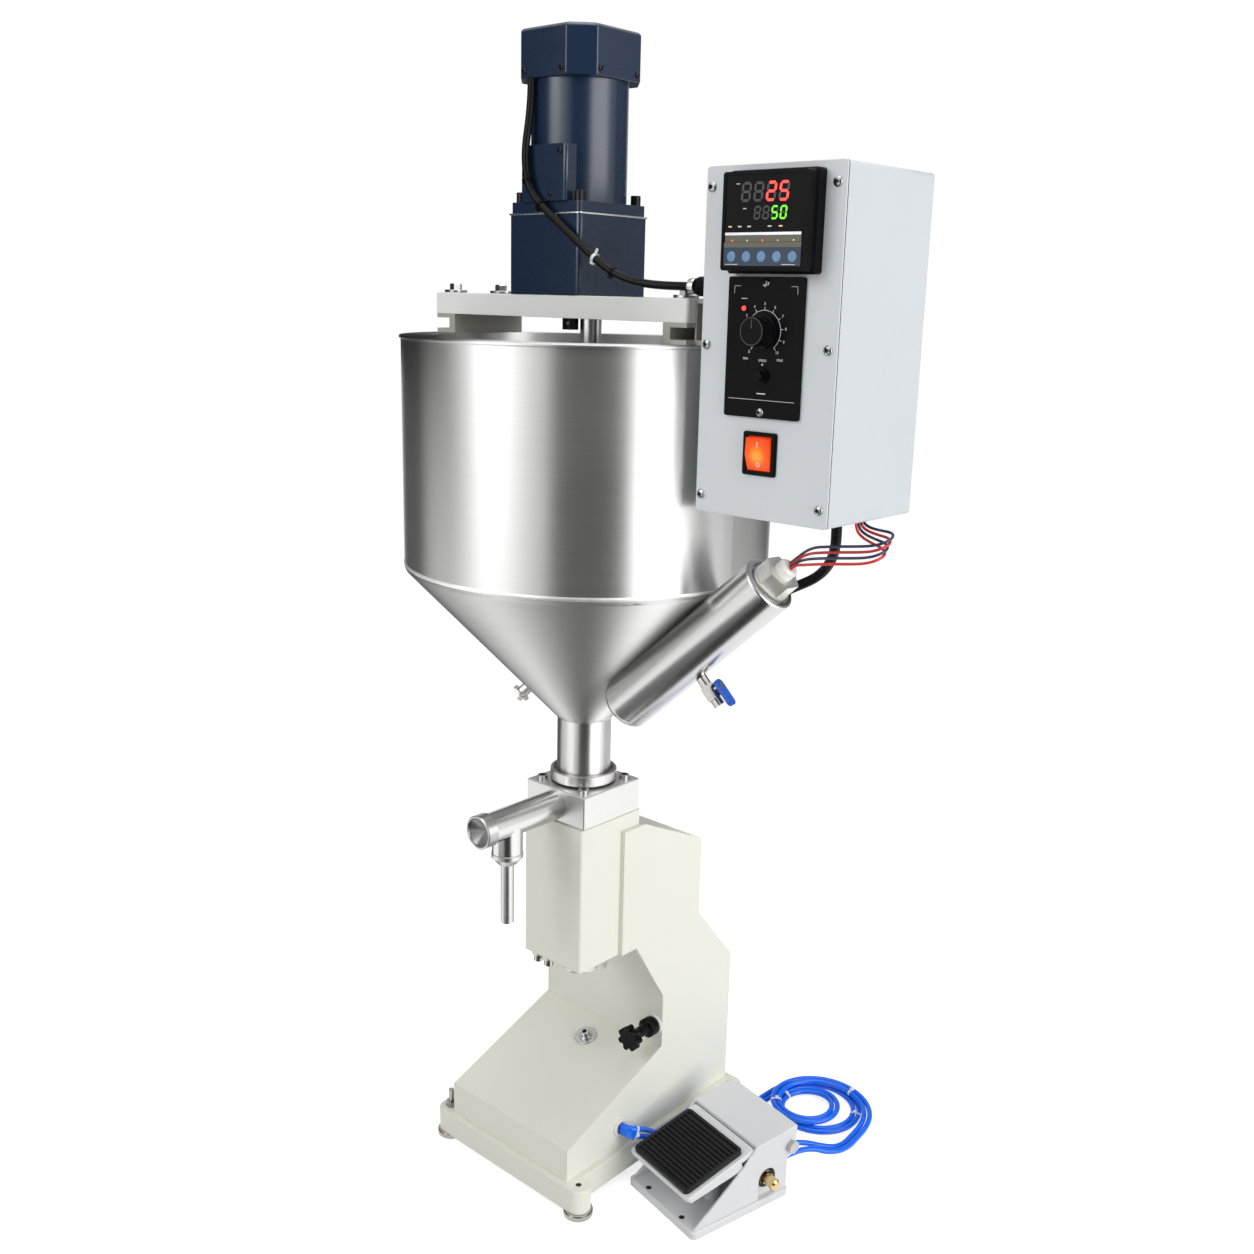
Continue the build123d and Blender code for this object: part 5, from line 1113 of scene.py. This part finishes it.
FLOOR_SIZE = 30
FLOOR_DROP = 0.0002
FLOOR_GREY = 0.65
FLOOR_GLOW = 0.73
WORLD_LIGHT = 0.37
CARD_FOOT = 0.0005
FLOOR_CARD = 0.0008
CARD_STEP = 8
UPRIGHT = ((2.6, CARD_FOOT), (2.6, 2.6))
MOTOR_MIDDLE = (-0.084, -0.017)


def rays(tree, *kinds):
    """1 for rays of the named kinds, else 0."""
    path = add(tree, "ShaderNodeLightPath", {})
    seen = path.outputs[kinds[0]]
    for kind in kinds[1:]:
        seen = reckon(tree, "MAXIMUM", seen, path.outputs[kind])
    return seen


def make_stage():
    """Pale floor that keeps its shadows and shows white to the camera and in reflections."""
    mesh = bpy.data.meshes.new("floor")
    corners = [(x * FLOOR_SIZE, y * FLOOR_SIZE, 0) for x, y in ((-1, -1), (1, -1), (1, 1), (-1, 1))]
    mesh.from_pydata(corners, [], [(0, 1, 2, 3)])
    floor = new_object("floor", mesh)
    floor.location.z = -FLOOR_DROP
    made, tree, shader = new_material("pale_floor")
    feed(tree, shader, {"Base Color": (*[FLOOR_GREY] * 3, 1), "Roughness": 0.9, "Specular IOR Level": 0.1})
    strength = reckon(tree, "MULTIPLY", rays(tree, "Is Camera Ray", "Is Glossy Ray"), FLOOR_GLOW)
    glow = add(tree, "ShaderNodeEmission", {"Color": (1, 1, 1, 1), "Strength": strength})
    both = add(tree, "ShaderNodeAddShader", {0: shader.outputs[0], 1: glow.outputs[0]})
    feed(tree, tree.nodes["Material Output"], {"Surface": both.outputs[0]})
    mesh.materials.append(made)


def make_world():
    """White surroundings that light less than they show."""
    world = bpy.data.worlds.new("studio")
    world.use_nodes = True
    bpy.context.scene.world = world
    tree = world.node_tree
    seen = rays(tree, "Is Camera Ray", "Is Glossy Ray", "Is Transmission Ray")
    strength = add(tree, "ShaderNodeMapRange", {"Value": seen, "To Min": WORLD_LIGHT})
    feed(tree, tree.nodes["Background"], {"Color": (1, 1, 1, 1), "Strength": strength.outputs[0]})


def area_light(name, spot, aim, size, power):
    data = bpy.data.lights.new(name, "AREA")
    data.shape = "RECTANGLE"
    data.size, data.size_y = size
    data.energy = power
    lamp = new_object(name, data)
    lamp.location = spot
    lamp.rotation_euler = (Vector(aim) - Vector(spot)).to_track_quat("-Z", "Y").to_euler()


def studio_card(name, start, end, shade, outline=UPRIGHT, centre=(0, 0)):
    """Card that only reflections show, curved between two azimuths from its (distance, height) outline."""
    steps = max(2, round((end - start) / CARD_STEP))
    rows = len(outline)
    corners = []
    for step in range(steps + 1):
        turn = radians(start + (end - start) * step / steps)
        for reach, height in outline:
            corners.append((centre[0] + sin(turn) * reach, centre[1] - cos(turn) * reach, height))
    faces = []
    for step in range(steps):
        for row in range(rows - 1):
            first = rows * step + row
            faces.append((first, first + rows, first + rows + 1, first + 1))
    mesh = bpy.data.meshes.new(name)
    mesh.from_pydata(corners, [], faces)
    card = new_object(name, mesh)
    card.visible_camera = card.visible_diffuse = card.visible_shadow = card.visible_transmission = False
    made, tree, shader = new_material(name)
    feed(tree, shader, {"Base Color": (*[shade] * 3, 1), "Roughness": 1, "Specular IOR Level": 0})
    mesh.materials.append(made)


def lamp_at(name, azimuth, distance, height, size, power):
    """Soft box standing at an azimuth, turned to the machine."""
    turn = radians(azimuth)
    area_light(name, (distance * sin(turn), -distance * cos(turn), height), (0, 0, 0.7), size, power)


make_stage()
make_world()
lamp_at("key_light", 92, 3, 1.2, (2.4, 2.2), 65)
lamp_at("fill_light", -11, 3, 1.4, (2, 2.2), 10)
area_light("upper_light", (-0.6, -1.9, 1.75), (0.1, 0, 0.95), (0.9, 0.9), 11)
area_light("top_light", (0.1, 0.1, 3.4), (0, 0, 0.5), (2, 2), 33)
studio_card("front_card", 19, 66, 0.03, ((0.16, CARD_FOOT), *UPRIGHT))
studio_card("motor_card", -120, -28, 0.01, ((0.42, 0.84), (0.42, 1.35)), MOTOR_MIDDLE)
studio_card("side_card_1", -72, -38, 0.72)
studio_card("side_card_2", 135, 170, 0.30)
studio_card("side_card_3", 170, 198, 0.12)
studio_card("left_card", -110, -72, 0.18, ((0.3, CARD_FOOT), *UPRIGHT))
studio_card("tube_card", -24, 19, 0.2, ((0.3, FLOOR_CARD), (1.25, FLOOR_CARD)))
studio_card("back_card", 214, 232, 0.10)
studio_card("back_floor_card", 216, 252, 0.06, ((0.5, FLOOR_CARD), (2.55, FLOOR_CARD)))

bpy.context.scene.view_settings.view_transform = "Standard"
